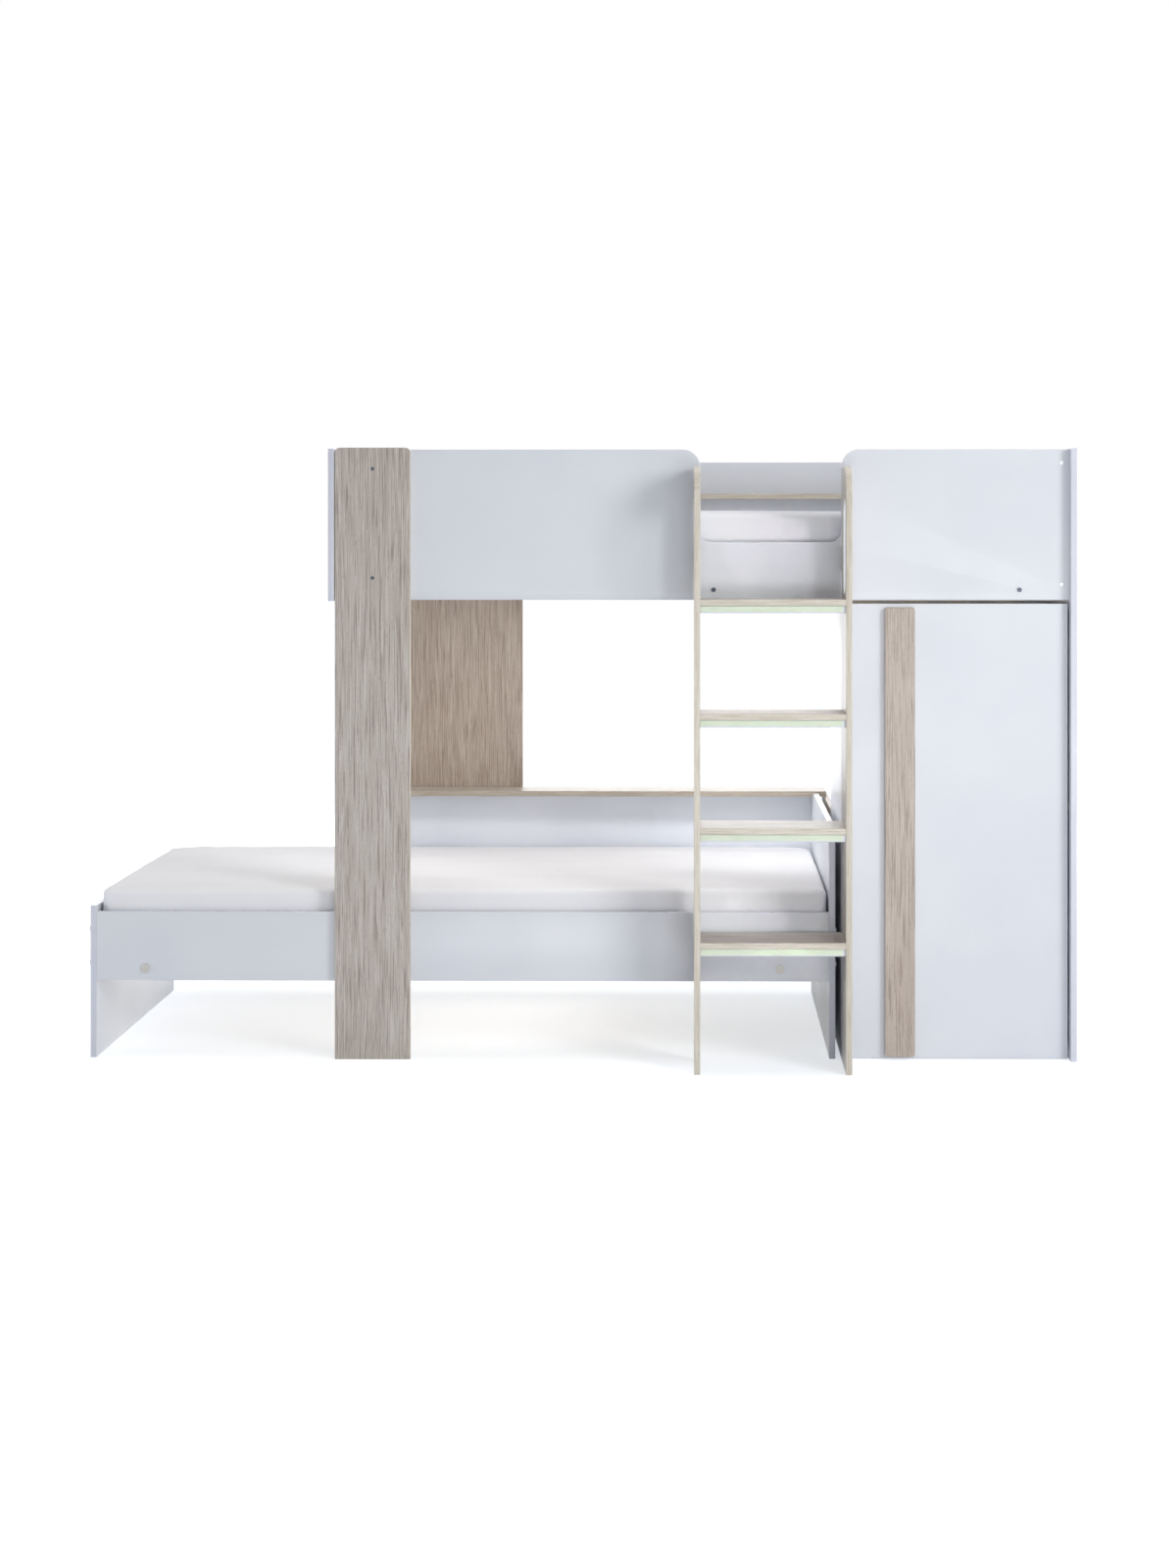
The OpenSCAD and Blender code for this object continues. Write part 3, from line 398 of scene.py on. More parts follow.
class SurfaceGrit(Effect):
    """The slight unevenness of a pressed, moulded or plated surface, with faint smudges."""

    name = "surface_grit"
    grain = Layer(900.0, 3.0, 0.6, 0.60, 0.75)
    smudge = Layer(6.0, 3.0, 0.5, 0.35, 0.68)
    takes = {"Vector": None, "Grain": grain.cells, "Smudge": smudge.cells}
    gives = {"Height": "Float", "Mask": "Float", "Speck": "Float"}

    def wire(self, w: Wiring, entry: object, leave: object) -> None:
        """Wires the unevenness.

        Args:
            w: The group's wiring.
            entry: The group's inputs, by name.
            leave: The group's outputs, by name.
        """
        height, specks = w.layer(entry["Vector"], self.grain, entry["Grain"])
        smudges = w.layer(entry["Vector"], self.smudge, entry["Smudge"])[1]
        w.put(height, leave["Height"])
        w.put(smudges, leave["Mask"])
        w.put(specks, leave["Speck"])


class SettledDust(Effect):
    """A trace of dust on faces that look up."""

    name = "settled_dust"
    takes = {"Vector": None, "Amount": 0.2}
    gives = {"Mask": "Float"}
    patches = Layer(9.0, 5.0, 0.65, 0.38, 0.72)
    least_upward = 0.7

    def wire(self, w: Wiring, entry: object, leave: object) -> None:
        """Wires the mask.

        Args:
            w: The group's wiring.
            entry: The group's inputs, by name.
            leave: The group's outputs, by name.
        """
        normal = w.add("ShaderNodeNewGeometry").outputs["Normal"]
        upward = w.add("ShaderNodeSeparateXYZ", normal).outputs[2]
        patches = w.layer(entry["Vector"], self.patches)[1]
        flat = w.remap(upward, self.least_upward, 1.0)
        w.put(w.times(w.times(patches, flat), entry["Amount"]), leave["Mask"])


class CottonWeave(Effect):
    """A fine plain weave read from the object's own axes, so it lies on top and sides alike."""

    name = "cotton_weave"
    takes = {"Vector": None, "Threads": 900.0}
    gives = {"Height": "Float", "Slub": "Float"}
    slub_scale: Triple = (1.0, 0.08, 1.0)
    slubs = Layer(420.0, 2.0, 0.5, 0.4, 0.7)
    thread_height = 0.16

    def wire(self, w: Wiring, entry: object, leave: object) -> None:
        """Wires the weave.

        Args:
            w: The group's wiring.
            entry: The group's inputs, by name.
            leave: The group's outputs, by name.
        """
        parts = w.add("ShaderNodeSeparateXYZ", entry["Vector"]).outputs
        turns = w.times(entry["Threads"], math.tau)
        x, y, z = (w.math("SINE", w.times(parts[i], turns)) for i in range(3))
        crossed = w.math("ADD", w.times(x, y), w.times(y, z))
        crossed = w.math("ADD", crossed, w.times(x, z))
        slub_at = w.vector("MULTIPLY", entry["Vector"], self.slub_scale)
        height, slubs = w.layer(slub_at, self.slubs)
        w.put(w.math("MULTIPLY_ADD", crossed, self.thread_height, height), leave["Height"])
        w.put(slubs, leave["Slub"])


GRAIN = WoodGrain()
GRIT = SurfaceGrit()
DUST = SettledDust()
WEAVE = CottonWeave()


# ---------------- finishes


@dataclass(frozen=True)
class Finish:
    """What every finish has: a name, a record slot and a roughness.

    Attributes:
        name: The material's name.
        slot: The record's material slot; not used.
        roughness: Its middle roughness.
    """

    name: str
    slot: str
    roughness: float

    def material(self) -> Material:
        """Finds the material, or makes it the first time.

        Returns:
            The material.
        """
        if self.name in bpy.data.materials:
            return bpy.data.materials[self.name]
        made = bpy.data.materials.new(self.name)
        w = Wiring.fresh(made)
        place = w.add("ShaderNodeTexCoord").outputs["Object"]
        shader = w.fill(w.add("ShaderNodeBsdfPrincipled"), self.dress(w, place))
        w.add("ShaderNodeOutputMaterial", shader.outputs[0])
        return made

    def dress(self, w: Wiring, place: NodeSocket) -> Inputs:
        """Wires the finish.

        Args:
            w: The material's wiring.
            place: Object coordinates.

        Returns:
            What goes into the Principled BSDF, by the names of its inputs.
        """
        raise NotImplementedError

    @staticmethod
    def bump(w: Wiring, height: NodeSocket, depth: float, strength: float) -> NodeSocket:
        """Adds a bump of a real depth.

        Args:
            w: The material's wiring.
            height: The height, about 0 to 1.
            depth: Its depth in metres.
            strength: How much of it shows.

        Returns:
            The bumped normal.
        """
        named = {"Strength": strength, "Distance": depth, "Height": height}
        return w.fill(w.add("ShaderNodeBump"), named).outputs[0]


@dataclass(frozen=True)
class Melamine(Finish):
    """Satin laminate on a board's faces, or its edge band.

    Attributes:
        colour: Its colour.
        cloud: A slightly different tone that it drifts to.
        smudges: Share of the other tone in smudges.
        specks: Share of the other tone in specks.
        dust: How much dust lies on it.
        polish: How much smoother than the middle it is between smudges.
        smudge_rough: How much rougher it is in them.
        dust_rough: How much rougher full dust would make it.
        relief: Depth of its unevenness in metres.
    """

    colour: Colour
    cloud: Colour
    smudges: float = 0.6
    specks: float = 0.10
    dust: float = 0.10
    polish: float = 0.03
    smudge_rough: float = 0.07
    dust_rough: float = 0.6
    relief: float = 0.00006

    def dress(self, w: Wiring, place: NodeSocket) -> Inputs:
        """Wires the laminate.

        Args:
            w: The material's wiring.
            place: Object coordinates.

        Returns:
            What goes into the Principled BSDF, by the names of its inputs.
        """
        grit = GRIT.place(w, Vector=place, Grain=1400.0, Smudge=3.5)
        dust = DUST.place(w, Vector=place, Amount=self.dust)["Mask"]
        colour = w.mix(w.times(grit["Mask"], self.smudges), self.colour, self.cloud)
        colour = w.mix(w.times(grit["Speck"], self.specks), colour, self.cloud)
        least = self.roughness - self.polish
        smooth = w.math("MULTIPLY_ADD", grit["Mask"], self.smudge_rough, least)
        return {
            "Base Color": w.mix(dust, colour, LAMINATE_DUST),
            "Roughness": w.math("MULTIPLY_ADD", dust, self.dust_rough, smooth),
            "IOR": 1.46,
            "Normal": self.bump(w, grit["Height"], self.relief, strength=0.35),
        }


@dataclass(frozen=True)
class WoodDecor(Finish):
    """Printed or solid wood with its grain along one axis of the bed.

    Attributes:
        light: Its palest tone.
        middle: Its main tone.
        dark: The tone of its veins and pores.
        axis: The way the grain runs.
        stretch: The grain's width against its length.
        fineness: How fine the streaks are.
        contrast: How strongly veins and lines show.
        dust: How much dust lies on it.
        pore_rough: How much rougher its pores are.
        dust_rough: How much rougher full dust would make it.
        relief: Depth of the pores in metres.
    """

    light: Colour
    middle: Colour
    dark: Colour
    axis: Axis
    stretch: float = 0.018
    fineness: float = 1.0
    contrast: float = 1.0
    dust: float = 0.08
    pore_rough: float = 0.18
    dust_rough: float = 0.5
    relief: float = 0.00012

    def dress(self, w: Wiring, place: NodeSocket) -> Inputs:
        """Wires the grain and its shallow pores.

        Args:
            w: The material's wiring.
            place: Object coordinates.

        Returns:
            What goes into the Principled BSDF, by the names of its inputs.
        """
        turned = w.fill(w.add("ShaderNodeMapping", place), {"Rotation": self.axis.value})
        grain = GRAIN.place(
            w, Vector=turned.outputs[0], Light=self.light, Middle=self.middle, Dark=self.dark,
            Stretch=self.stretch, Fineness=self.fineness, Contrast=self.contrast,
        )
        dust = DUST.place(w, Vector=place, Amount=self.dust)["Mask"]
        rough = w.math("MULTIPLY_ADD", grain["Pores"], self.pore_rough, self.roughness)
        return {
            "Base Color": w.mix(dust, grain["Color"], WOOD_DUST),
            "Roughness": w.math("MULTIPLY_ADD", dust, self.dust_rough, rough),
            "IOR": 1.47,
            "Normal": self.bump(w, grain["Height"], self.relief, strength=0.6),
        }


@dataclass(frozen=True)
class PlatedSteel(Finish):
    """Zinc, nickel or chrome plating with fine scratches, or dark steel whose tone is partly
    painted shade.

    Attributes:
        colour: The plating's colour.
        dull: The tone of its dull patches.
        scratches: Scratches per metre.
        dullness: How far its dull patches go to that tone.
        worn_rough: How much rougher patches and scratches make it.
        relief: Depth of a scratch in metres.
    """

    colour: Colour
    dull: Colour
    scratches: float = 700.0
    dullness: float = 0.5
    worn_rough: float = 0.10
    relief: float = 0.00003

    def dress(self, w: Wiring, place: NodeSocket) -> Inputs:
        """Wires the plating.

        Args:
            w: The material's wiring.
            place: Object coordinates.

        Returns:
            What goes into the Principled BSDF, by the names of its inputs.
        """
        grit = GRIT.place(w, Vector=place, Grain=self.scratches * 3, Smudge=self.scratches * 0.2)
        along = w.vector("MULTIPLY", place, (1.0, 1.0, 0.06))
        drawn = w.noise(along, self.scratches, 3.0, 0.6)
        worn = w.math("ADD", grit["Mask"], drawn)
        return {
            "Base Color": w.mix(w.times(grit["Mask"], self.dullness), self.colour, self.dull),
            "Metallic": 1.0,
            "Roughness": w.math("MULTIPLY_ADD", worn, self.worn_rough, self.roughness),
            "Normal": self.bump(w, drawn, self.relief, strength=0.5),
        }


@dataclass(frozen=True)
class MouldedPlastic(Finish):
    """Moulded plastic with a faint spark-eroded skin.

    Attributes:
        colour: Its colour.
        cloud: A tone it drifts to.
        inner_light: How much light it lets in.
        inner_reach: How far light goes in it, in metres.
        speck_rough: How much rougher its specks are.
        relief: Depth of the skin in metres.
    """

    colour: Colour
    cloud: Colour
    inner_light: float
    inner_reach: float = 0.002
    speck_rough: float = 0.15
    relief: float = 0.00004

    def dress(self, w: Wiring, place: NodeSocket) -> Inputs:
        """Wires the plastic.

        Args:
            w: The material's wiring.
            place: Object coordinates.

        Returns:
            What goes into the Principled BSDF, by the names of its inputs.
        """
        grit = GRIT.place(w, Vector=place, Grain=2600.0, Smudge=30.0)
        return {
            "Base Color": w.mix(grit["Mask"], self.colour, self.cloud),
            "Roughness": w.math("MULTIPLY_ADD", grit["Speck"], self.speck_rough, self.roughness),
            "Subsurface Weight": self.inner_light,
            "Subsurface Scale": self.inner_reach,
            "Normal": self.bump(w, grit["Height"], self.relief, strength=0.5),
        }


@dataclass(frozen=True)
class SheetCotton(Finish):
    """The white cotton of a fitted sheet, stretched over a mattress.

    Attributes:
        colour: The cloth's colour.
        shade: The tone of its slubs.
        soft_scale: How its soft patches are stretched.
        soft: Its soft patches.
        slub_share: How far a slub goes to the shade.
        slub_rough: How much rougher it is.
        relief: Depth of the weave in metres.
    """

    colour: Colour
    shade: Colour
    soft_scale: Triple = (0.6, 1.5, 1.0)
    soft: Layer = Layer(5.0, 3.0, 0.55, 0.35, 0.7, share=0.5)
    slub_share: float = 0.25
    slub_rough: float = 0.08
    relief: float = 0.0002

    def dress(self, w: Wiring, place: NodeSocket) -> Inputs:
        """Wires the cloth.

        Args:
            w: The material's wiring.
            place: Object coordinates.

        Returns:
            What goes into the Principled BSDF, by the names of its inputs.
        """
        weave = WEAVE.place(w, Vector=place, Threads=850.0)
        soft = w.layer(w.vector("MULTIPLY", place, self.soft_scale), self.soft)[1]
        patches = w.times(soft, self.soft.share)
        tone = w.math("MULTIPLY_ADD", weave["Slub"], self.slub_share, patches)
        return {
            "Base Color": w.mix(tone, self.colour, self.shade),
            "Roughness": w.math("MULTIPLY_ADD", weave["Slub"], self.slub_rough, self.roughness),
            "Sheen Weight": 0.25,
            "Sheen Roughness": 0.5,
            "IOR": 1.4,
            "Normal": self.bump(w, weave["Height"], self.relief, strength=0.35),
        }


def wood(name: str, slot: str, tones: Tones, axis: Axis, **more: float) -> WoodDecor:
    """Names a wood finish for one way of the grain.

    Args:
        name: The wood's name.
        slot: The record's slot.
        tones: Its palest, main and dark tone.
        axis: The way the grain runs.
        more: Other values of the decor.

    Returns:
        The finish.
    """
    return WoodDecor(f"{name}_{axis.name.lower()}", slot, WOOD_ROUGHNESS, *tones, axis, **more)


LAMINATE_DUST = srgb(226, 226, 226)
WOOD_DUST = srgb(205, 200, 192)
WOOD_ROUGHNESS = 0.34
BAND_FINENESS = 1.3

OAK_TONES = (srgb(206, 202, 195), srgb(184, 175, 168), srgb(138, 125, 117))
OAK_EDGE_TONES = (srgb(219, 213, 202), srgb(207, 200, 187), srgb(184, 174, 158))
# Painted shade: the back ledge's edge band is a darker copy of the oak edge band, for its front in
# shade under the bunk.
PAINTED_SHADE_LEDGE_EDGE_TONES = (srgb(170, 162, 149), srgb(155, 145, 131), srgb(133, 121, 107))
# Painted shade: the bunk shelf's edge band is a slightly darker copy of the oak edge band, for its
# place in shade inside the bunk.
PAINTED_SHADE_SHELF_EDGE_TONES = (srgb(214, 207, 193), srgb(199, 190, 175), srgb(172, 160, 144))
# The rear oak boards' tone is partly their own darker oak and partly painted shade of their place
# under the bunk and behind the wardrobe.
DARK_AND_SHADED_OAK_TONES = (srgb(174, 162, 148), srgb(154, 139, 127), srgb(114, 99, 86))
HANDLE_TONES = (srgb(197, 187, 178), srgb(180, 167, 157), srgb(139, 124, 113))
PINE_TONES = (srgb(236, 214, 176), srgb(226, 198, 154), srgb(198, 160, 112))
BEECH_TONES = (srgb(226, 196, 158), srgb(212, 178, 138), srgb(180, 142, 104))

OAK_X = wood("oak_decor", "oak_board", OAK_TONES, Axis.X)
OAK_Z = wood("oak_decor", "oak_board", OAK_TONES, Axis.Z)
OAK_BAND_X = wood("oak_edge_band", "oak_board", OAK_EDGE_TONES, Axis.X, fineness=BAND_FINENESS)
OAK_BAND_Z = wood("oak_edge_band", "oak_board", OAK_EDGE_TONES, Axis.Z, fineness=BAND_FINENESS)
# Painted shade: the oak edge band, darkened for the back ledge's front in shade under the bunk.
PAINTED_SHADE_LEDGE_BAND = wood(
    "ledge_edge_band_painted_shade", "oak_board", PAINTED_SHADE_LEDGE_EDGE_TONES, Axis.X, fineness=BAND_FINENESS
)
# Painted shade: the oak edge band, darkened a little for the bunk shelf's edge inside the bunk.
PAINTED_SHADE_SHELF_BAND = wood(
    "shelf_edge_band_painted_shade", "oak_board", PAINTED_SHADE_SHELF_EDGE_TONES, Axis.X, fineness=BAND_FINENESS
)
# Darker oak with painted shade, for the boards under the bunk and behind the wardrobe.
DARK_AND_SHADED_OAK = wood("dark_oak_decor_painted_shade", "oak_board_dark", DARK_AND_SHADED_OAK_TONES, Axis.Z)
HANDLE_OAK = wood("handle_oak_decor", "oak_board", HANDLE_TONES, Axis.Z)
PINE_GRAIN = {"stretch": 0.05, "fineness": 0.45, "contrast": 0.7}
PINE_X = wood("pine", "pine", PINE_TONES, Axis.X, **PINE_GRAIN)
PINE_Y = wood("pine", "pine", PINE_TONES, Axis.Y, **PINE_GRAIN)
BEECH = wood("beech", "beech", BEECH_TONES, Axis.Z, fineness=0.6)

WHITE_FACE = Melamine(
    "white_laminate", "white_board", 0.34, srgb(222, 226, 233), srgb(216, 220, 229)
)
WHITE_EDGE = Melamine(
    "white_edge_band", "white_board", 0.28, srgb(214, 217, 229), srgb(208, 212, 226)
)
BACK_FACE = Melamine(
    "white_thin_back", "white_board", 0.42, srgb(224, 226, 232), srgb(216, 219, 226)
)
ZINC = PlatedSteel(
    "zinc_plated_steel", "zinc_steel", 0.30, srgb(196, 199, 205), srgb(168, 172, 178)
)
NICKEL = PlatedSteel(
    "nickel_plated_steel", "nickel_steel", 0.22, srgb(205, 202, 196), srgb(180, 177, 170)
)
CHROME = PlatedSteel("chromed_tube", "chrome_tube", 0.10, srgb(222, 224, 228), srgb(205, 208, 214))
# Partly painted shade: these fittings are drawn dark throughout, though the guard's ring bolts have
# light zinc heads that look dark only where shaded.
DARK_STEEL_PAINTED_SHADE = PlatedSteel("dark_steel_painted_shade", "dark_steel", 0.34, srgb(92, 97, 108), srgb(64, 68, 78))
CAP_PLASTIC = MouldedPlastic(
    "cream_cap_plastic", "cream_plastic", 0.42, srgb(214, 214, 212), srgb(206, 205, 200), 0.1
)
LINER_PLASTIC = MouldedPlastic(
    "white_liner_plastic", "white_plastic", 0.32, srgb(238, 240, 244), srgb(230, 232, 238), 0.1
)
GLOW_FILM = MouldedPlastic(
    "afterglow_film", "glow_film", 0.46, srgb(222, 232, 213), srgb(217, 228, 206), 0.2
)
SHEET_COTTON = SheetCotton(
    "white_sheet_cotton", "mattress_cloth", 0.86, srgb(243, 244, 248), srgb(236, 237, 243)
)


# ---------------- bench work


@dataclass
class Bench:
    """Work that every sub-assembly shares: copying boards from the frame and easing their edges.

    Attributes:
        nodes: The CAD nodes by name.
        ease: Radius of an eased board edge in metres.
        min_outline: Sharp loops that span less than this are bores and stay sharp.
        weld: Vertices closer than this are merged.
        flat_angle: Faces that meet at less than this are joined.
        sharp_angle: Edges that turn by more than this are sharp.
        smooth_angle: Largest angle that is shaded smooth.
        face_tilt: Least share of a normal across the board on a decor face.
        made: The pieces made so far.
    """

    nodes: dict[str, Object]
    ease: float = 0.0010
    min_outline: float = 0.030
    weld: float = 0.00002
    flat_angle: float = math.radians(0.5)
    sharp_angle: float = math.radians(40)
    smooth_angle: float = math.radians(20)
    face_tilt: float = 0.95
    made: list[str] = field(default_factory=list)

    @staticmethod
    def alone(piece: Object) -> None:
        """Deselects everything else and makes a piece active.

        Args:
            piece: The piece.
        """
        bpy.ops.object.select_all(action="DESELECT")
        piece.select_set(True)
        bpy.context.view_layer.objects.active = piece

    def copy_node(self, node: str, name: str) -> Object:
        """Copies a CAD node's mesh to a new piece and merges its loose triangles.

        Args:
            node: The CAD node.
            name: The piece's name.

        Returns:
            The piece.
        """
        mesh = self.nodes[node].data.copy()
        mesh.name = name
        mesh.materials.clear()
        piece = bpy.data.objects.new(name, mesh)
        bpy.context.scene.collection.objects.link(piece)
        self.alone(piece)
        bpy.ops.object.mode_set(mode="EDIT")
        bpy.ops.mesh.select_all(action="SELECT")
        bpy.ops.mesh.remove_doubles(threshold=self.weld)
        bpy.ops.mesh.customdata_custom_splitnormals_clear()
        bpy.ops.mesh.dissolve_limited(angle_limit=self.flat_angle)
        bpy.ops.object.mode_set(mode="OBJECT")
        return piece

    def weigh_outline(self, piece: Object) -> None:
        """Marks the sharp edges of a board's outline for the bevel, and leaves out its bores.

        Args:
            piece: The board.
        """
        bm = bmesh.new()
        bm.from_mesh(piece.data)
        layers = bm.edges.layers.float
        weight = layers.get("bevel_weight_edge") or layers.new("bevel_weight_edge")
        sharp = {
            edge for edge in bm.edges
            if len(edge.link_faces) == 2 and edge.calc_face_angle(0.0) > self.sharp_angle
        }
        while sharp:
            loop, edge_front = [], [sharp.pop()]
            while edge_front:
                edge = edge_front.pop()
                loop.append(edge)
                for other in (o for vert in edge.verts for o in vert.link_edges):
                    if other in sharp:
                        sharp.remove(other)
                        edge_front.append(other)
            points = [vert.co for edge in loop for vert in edge.verts]
            span = max(max(p[i] for p in points) - min(p[i] for p in points) for i in range(3))
            if span >= self.min_outline:
                for edge in loop:
                    edge[weight] = 1.0
        bm.to_mesh(piece.data)
        bm.free()

    def apply(self, piece: Object, kind: str, **values: object) -> None:
        """Adds a modifier and applies it.

        Args:
            piece: The piece.
            kind: The modifier's type.
            values: Its settings.
        """
        self.alone(piece)
        modifier = piece.modifiers.new(kind.title(), kind)
        for key, value in values.items():
            setattr(modifier, key, value)
        bpy.ops.object.modifier_apply(modifier=modifier.name)

    def smooth(self, piece: Object, angle: float) -> None:
        """Shades a piece smooth up to an angle."""
        self.alone(piece)
        bpy.ops.object.shade_smooth_by_angle(angle=angle)

    def finish(self, piece: Object, body: str, finish: Finish, node: str) -> None:
        """Says what a piece rides on, replaces and is made of, and logs it.

        Args:
            piece: The piece.
            body: The CAD body it moves with.
            finish: Its main finish.
            node: The CAD node it stands for.
        """
        if not piece.data.materials:
            piece.data.materials.append(finish.material())
        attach(piece, body)
        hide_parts(node)
        self.made.append(piece.name)
        faces = len(piece.data.polygons)
        LOG.info("%-26s %6d faces on %s, %s", piece.name, faces, body, finish.name)

    def boards(
        self, face: Finish, edge: Finish, *nodes: str, body: str = FIXED_BODY,
        ease: float | None = None,
    ) -> None:
        """Makes boards with eased edges, the decor on two faces and the band round the edge.

        Args:
            face: The decor of the two faces.
            edge: The band's finish.
            nodes: The CAD boards they stand for.
            body: The CAD body they move with.
            ease: Their edge radius, or the usual one.
        """
        for node in nodes:
            low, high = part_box(node)
            size = high - low
            thin = min(range(3), key=lambda i: size[i])
            piece = self.copy_node(node, f"{node}_board")
            self.weigh_outline(piece)
            self.apply(
                piece, "BEVEL", width=self.ease if ease is None else ease, segments=2,
                limit_method="WEIGHT", use_clamp_overlap=False, miter_outer="MITER_SHARP",
            )
            piece.data.materials.append(face.material())
            piece.data.materials.append(edge.material())
            for polygon in piece.data.polygons:
                polygon.material_index = 0 if abs(polygon.normal[thin]) > self.face_tilt else 1
            self.smooth(piece, self.smooth_angle)
            self.finish(piece, body, face, node)

    def slatted_base(self, bed: str, ease: float) -> None:
        """Makes the battens and slats of one bed, with edges of a given radius."""
        self.boards(PINE_X, PINE_X, f"{bed}_battens", ease=ease)
        self.boards(PINE_Y, PINE_Y, f"{bed}_slats", ease=ease)

    def dress(self, finish: Finish, *nodes: str) -> None:
        """Gives CAD nodes that keep their shape a finish.

        Args:
            finish: The finish.
            nodes: The nodes.
        """
        for node in nodes:
            target = self.nodes[node]
            target.data.materials.clear()
            target.data.materials.append(finish.material())
            LOG.info("%-26s keeps its shape, %s", node, finish.name)


# ---------------- sub-assemblies


@dataclass
class LowerBed:
    """The low bed: end panels, rails, back board, ledge and slatted base.

    Attributes:
        bench: The shared bench.
        white: Its white boards.
        slat_ease: Edge radius of its slats and battens in metres.
    """

    bench: Bench
    white: tuple[str, ...] = (
        "lower_footboard", "lower_headboard", "lower_front_rail", "lower_rear_rail",
        "lower_back_board",
    )
    slat_ease: float = 0.0030

    def build(self) -> None:
        """Builds the boards and dresses the fittings."""
        bench = self.bench
        bench.boards(WHITE_FACE, WHITE_EDGE, *self.white)
        # The back ledge's edge band carries painted shade.
        bench.boards(OAK_X, PAINTED_SHADE_LEDGE_BAND, "back_ledge")
        bench.slatted_base("lower", self.slat_ease)
        bench.dress(ZINC, "lower_corner_bolts", "lower_barrel_nuts", "lower_batten_bolts")
        bench.dress(CAP_PLASTIC, "rail_cover_caps")
        bench.dress(BEECH, "ledge_dowels")


@dataclass
class UpperBunk:
    """The raised bunk: guard, left end, back panel, shelf, post, rear panel and slatted base.

    Attributes:
        bench: The shared bench.
        white: Its white boards.
        slat_ease: Edge radius of its slats and battens in metres.
    """

    bench: Bench
    white: tuple[str, ...] = ("bunk_guard", "bunk_left_end", "bunk_back_panel")
    slat_ease: float = 0.0030

    def build(self) -> None:
        """Builds the boards and dresses the fittings."""
        bench = self.bench
        bench.boards(WHITE_FACE, WHITE_EDGE, *self.white)
        # The bunk shelf's edge band carries painted shade.
        bench.boards(OAK_X, PAINTED_SHADE_SHELF_BAND, "bunk_shelf")
        bench.boards(OAK_Z, OAK_BAND_Z, "front_post")
        # The rear oak panel's dark tone is partly painted shade.
        bench.boards(DARK_AND_SHADED_OAK, DARK_AND_SHADED_OAK, "rear_oak_panel")
        bench.slatted_base("bunk", self.slat_ease)
        # The post's screws, the guard's ring bolts and the rear batten bolts are drawn dark, partly
        # as painted shade.
        bench.dress(DARK_STEEL_PAINTED_SHADE, "post_screws", "guard_ring_bolts", "rear_batten_bolts")
        bench.dress(
            ZINC, "rear_panel_screws", "bunk_corner_bolts", "bunk_barrel_nuts", "bunk_shelf_screws"
        )


@dataclass
class Ladder:
    """The ladder: two stringers with lined hand-holds, treads, laths and afterglow strips.

    Attributes:
        bench: The shared bench.
        treads: How many treads it has.
        spacer_ease: Edge radius of its spacers in metres.
    """

    bench: Bench
    treads: int = 4
    spacer_ease: float = 0.0006

    def build(self) -> None:
        """Builds the ladder's boards and dresses its fittings."""
        bench = self.bench
        bench.boards(OAK_Z, OAK_BAND_Z, "ladder_stringer_left", "ladder_stringer_right")
        bench.boards(OAK_X, OAK_BAND_X, *(f"tread_{i + 1}" for i in range(self.treads)))
        bench.boards(OAK_Z, OAK_Z, "ladder_spacers", ease=self.spacer_ease)
        bench.boards(WHITE_FACE, WHITE_EDGE, "tread_laths")
        bench.dress(LINER_PLASTIC, "slot_liner_left", "slot_liner_right")
        bench.dress(GLOW_FILM, "glow_strips")
        bench.dress(ZINC, "tread_screws", "ladder_bolts", "ladder_nuts")


@dataclass
class Wardrobe:
    """The wardrobe under the bunk's right end, with its hinged door.

    Attributes:
        bench: The shared bench.
        white: The white boards of its carcase.
        thin_ease: Edge radius of its thin back in metres.
    """

    bench: Bench
    white: tuple[str, ...] = (
        "wardrobe_left_side", "right_side_panel", "wardrobe_bottom", "wardrobe_top",
        "wardrobe_shelf",
    )
    thin_ease: float = 0.0004

    def build(self) -> None:
        """Builds the carcase and the door, and dresses their fittings."""
        bench = self.bench
        bench.boards(WHITE_FACE, WHITE_EDGE, *self.white)
        bench.boards(BACK_FACE, BACK_FACE, "wardrobe_back", ease=self.thin_ease)
        # The rear side panel's dark tone is partly painted shade.
        bench.boards(DARK_AND_SHADED_OAK, DARK_AND_SHADED_OAK, "rear_side_panel")
        bench.boards(WHITE_FACE, WHITE_EDGE, "wardrobe_door", body=DOOR_BODY)
        bench.boards(HANDLE_OAK, HANDLE_OAK, "handle_plank", body=DOOR_BODY)
        bench.dress(ZINC, "wardrobe_screws", "handle_screws", "rail_sockets")
        bench.dress(CHROME, "hanging_rail")
        bench.dress(NICKEL, "hinge_cups", "hinge_arms", "hinge_plates")


@dataclass(frozen=True)
class Fold:
    """One size of fold in a sheet.

    Attributes:
        cells: Cells per metre along each axis.
        depth: Its share of the folds' depth.
        lifted: Whether the seed moves it along Z too.
    """

    cells: Triple
    depth: float
    lifted: bool = False

    def at(self, local: Vector, seed: float) -> float:
        """Reads the fold.

        Args:
            local: The place, from the mattress's middle.
            seed: Where the folds are read.

        Returns:
            Its height, about -1 to 1.
        """
        x, y, z = self.cells
        lift = seed if self.lifted else 0.0
        return noise.noise(Vector((local.x * x + seed, local.y * y, local.z * z + lift)))


def fade(distance: float, reach: float) -> float:
    """Falls from 1 at no distance to almost 0 at twice the reach."""
    return math.exp(-((distance / reach) ** 2))


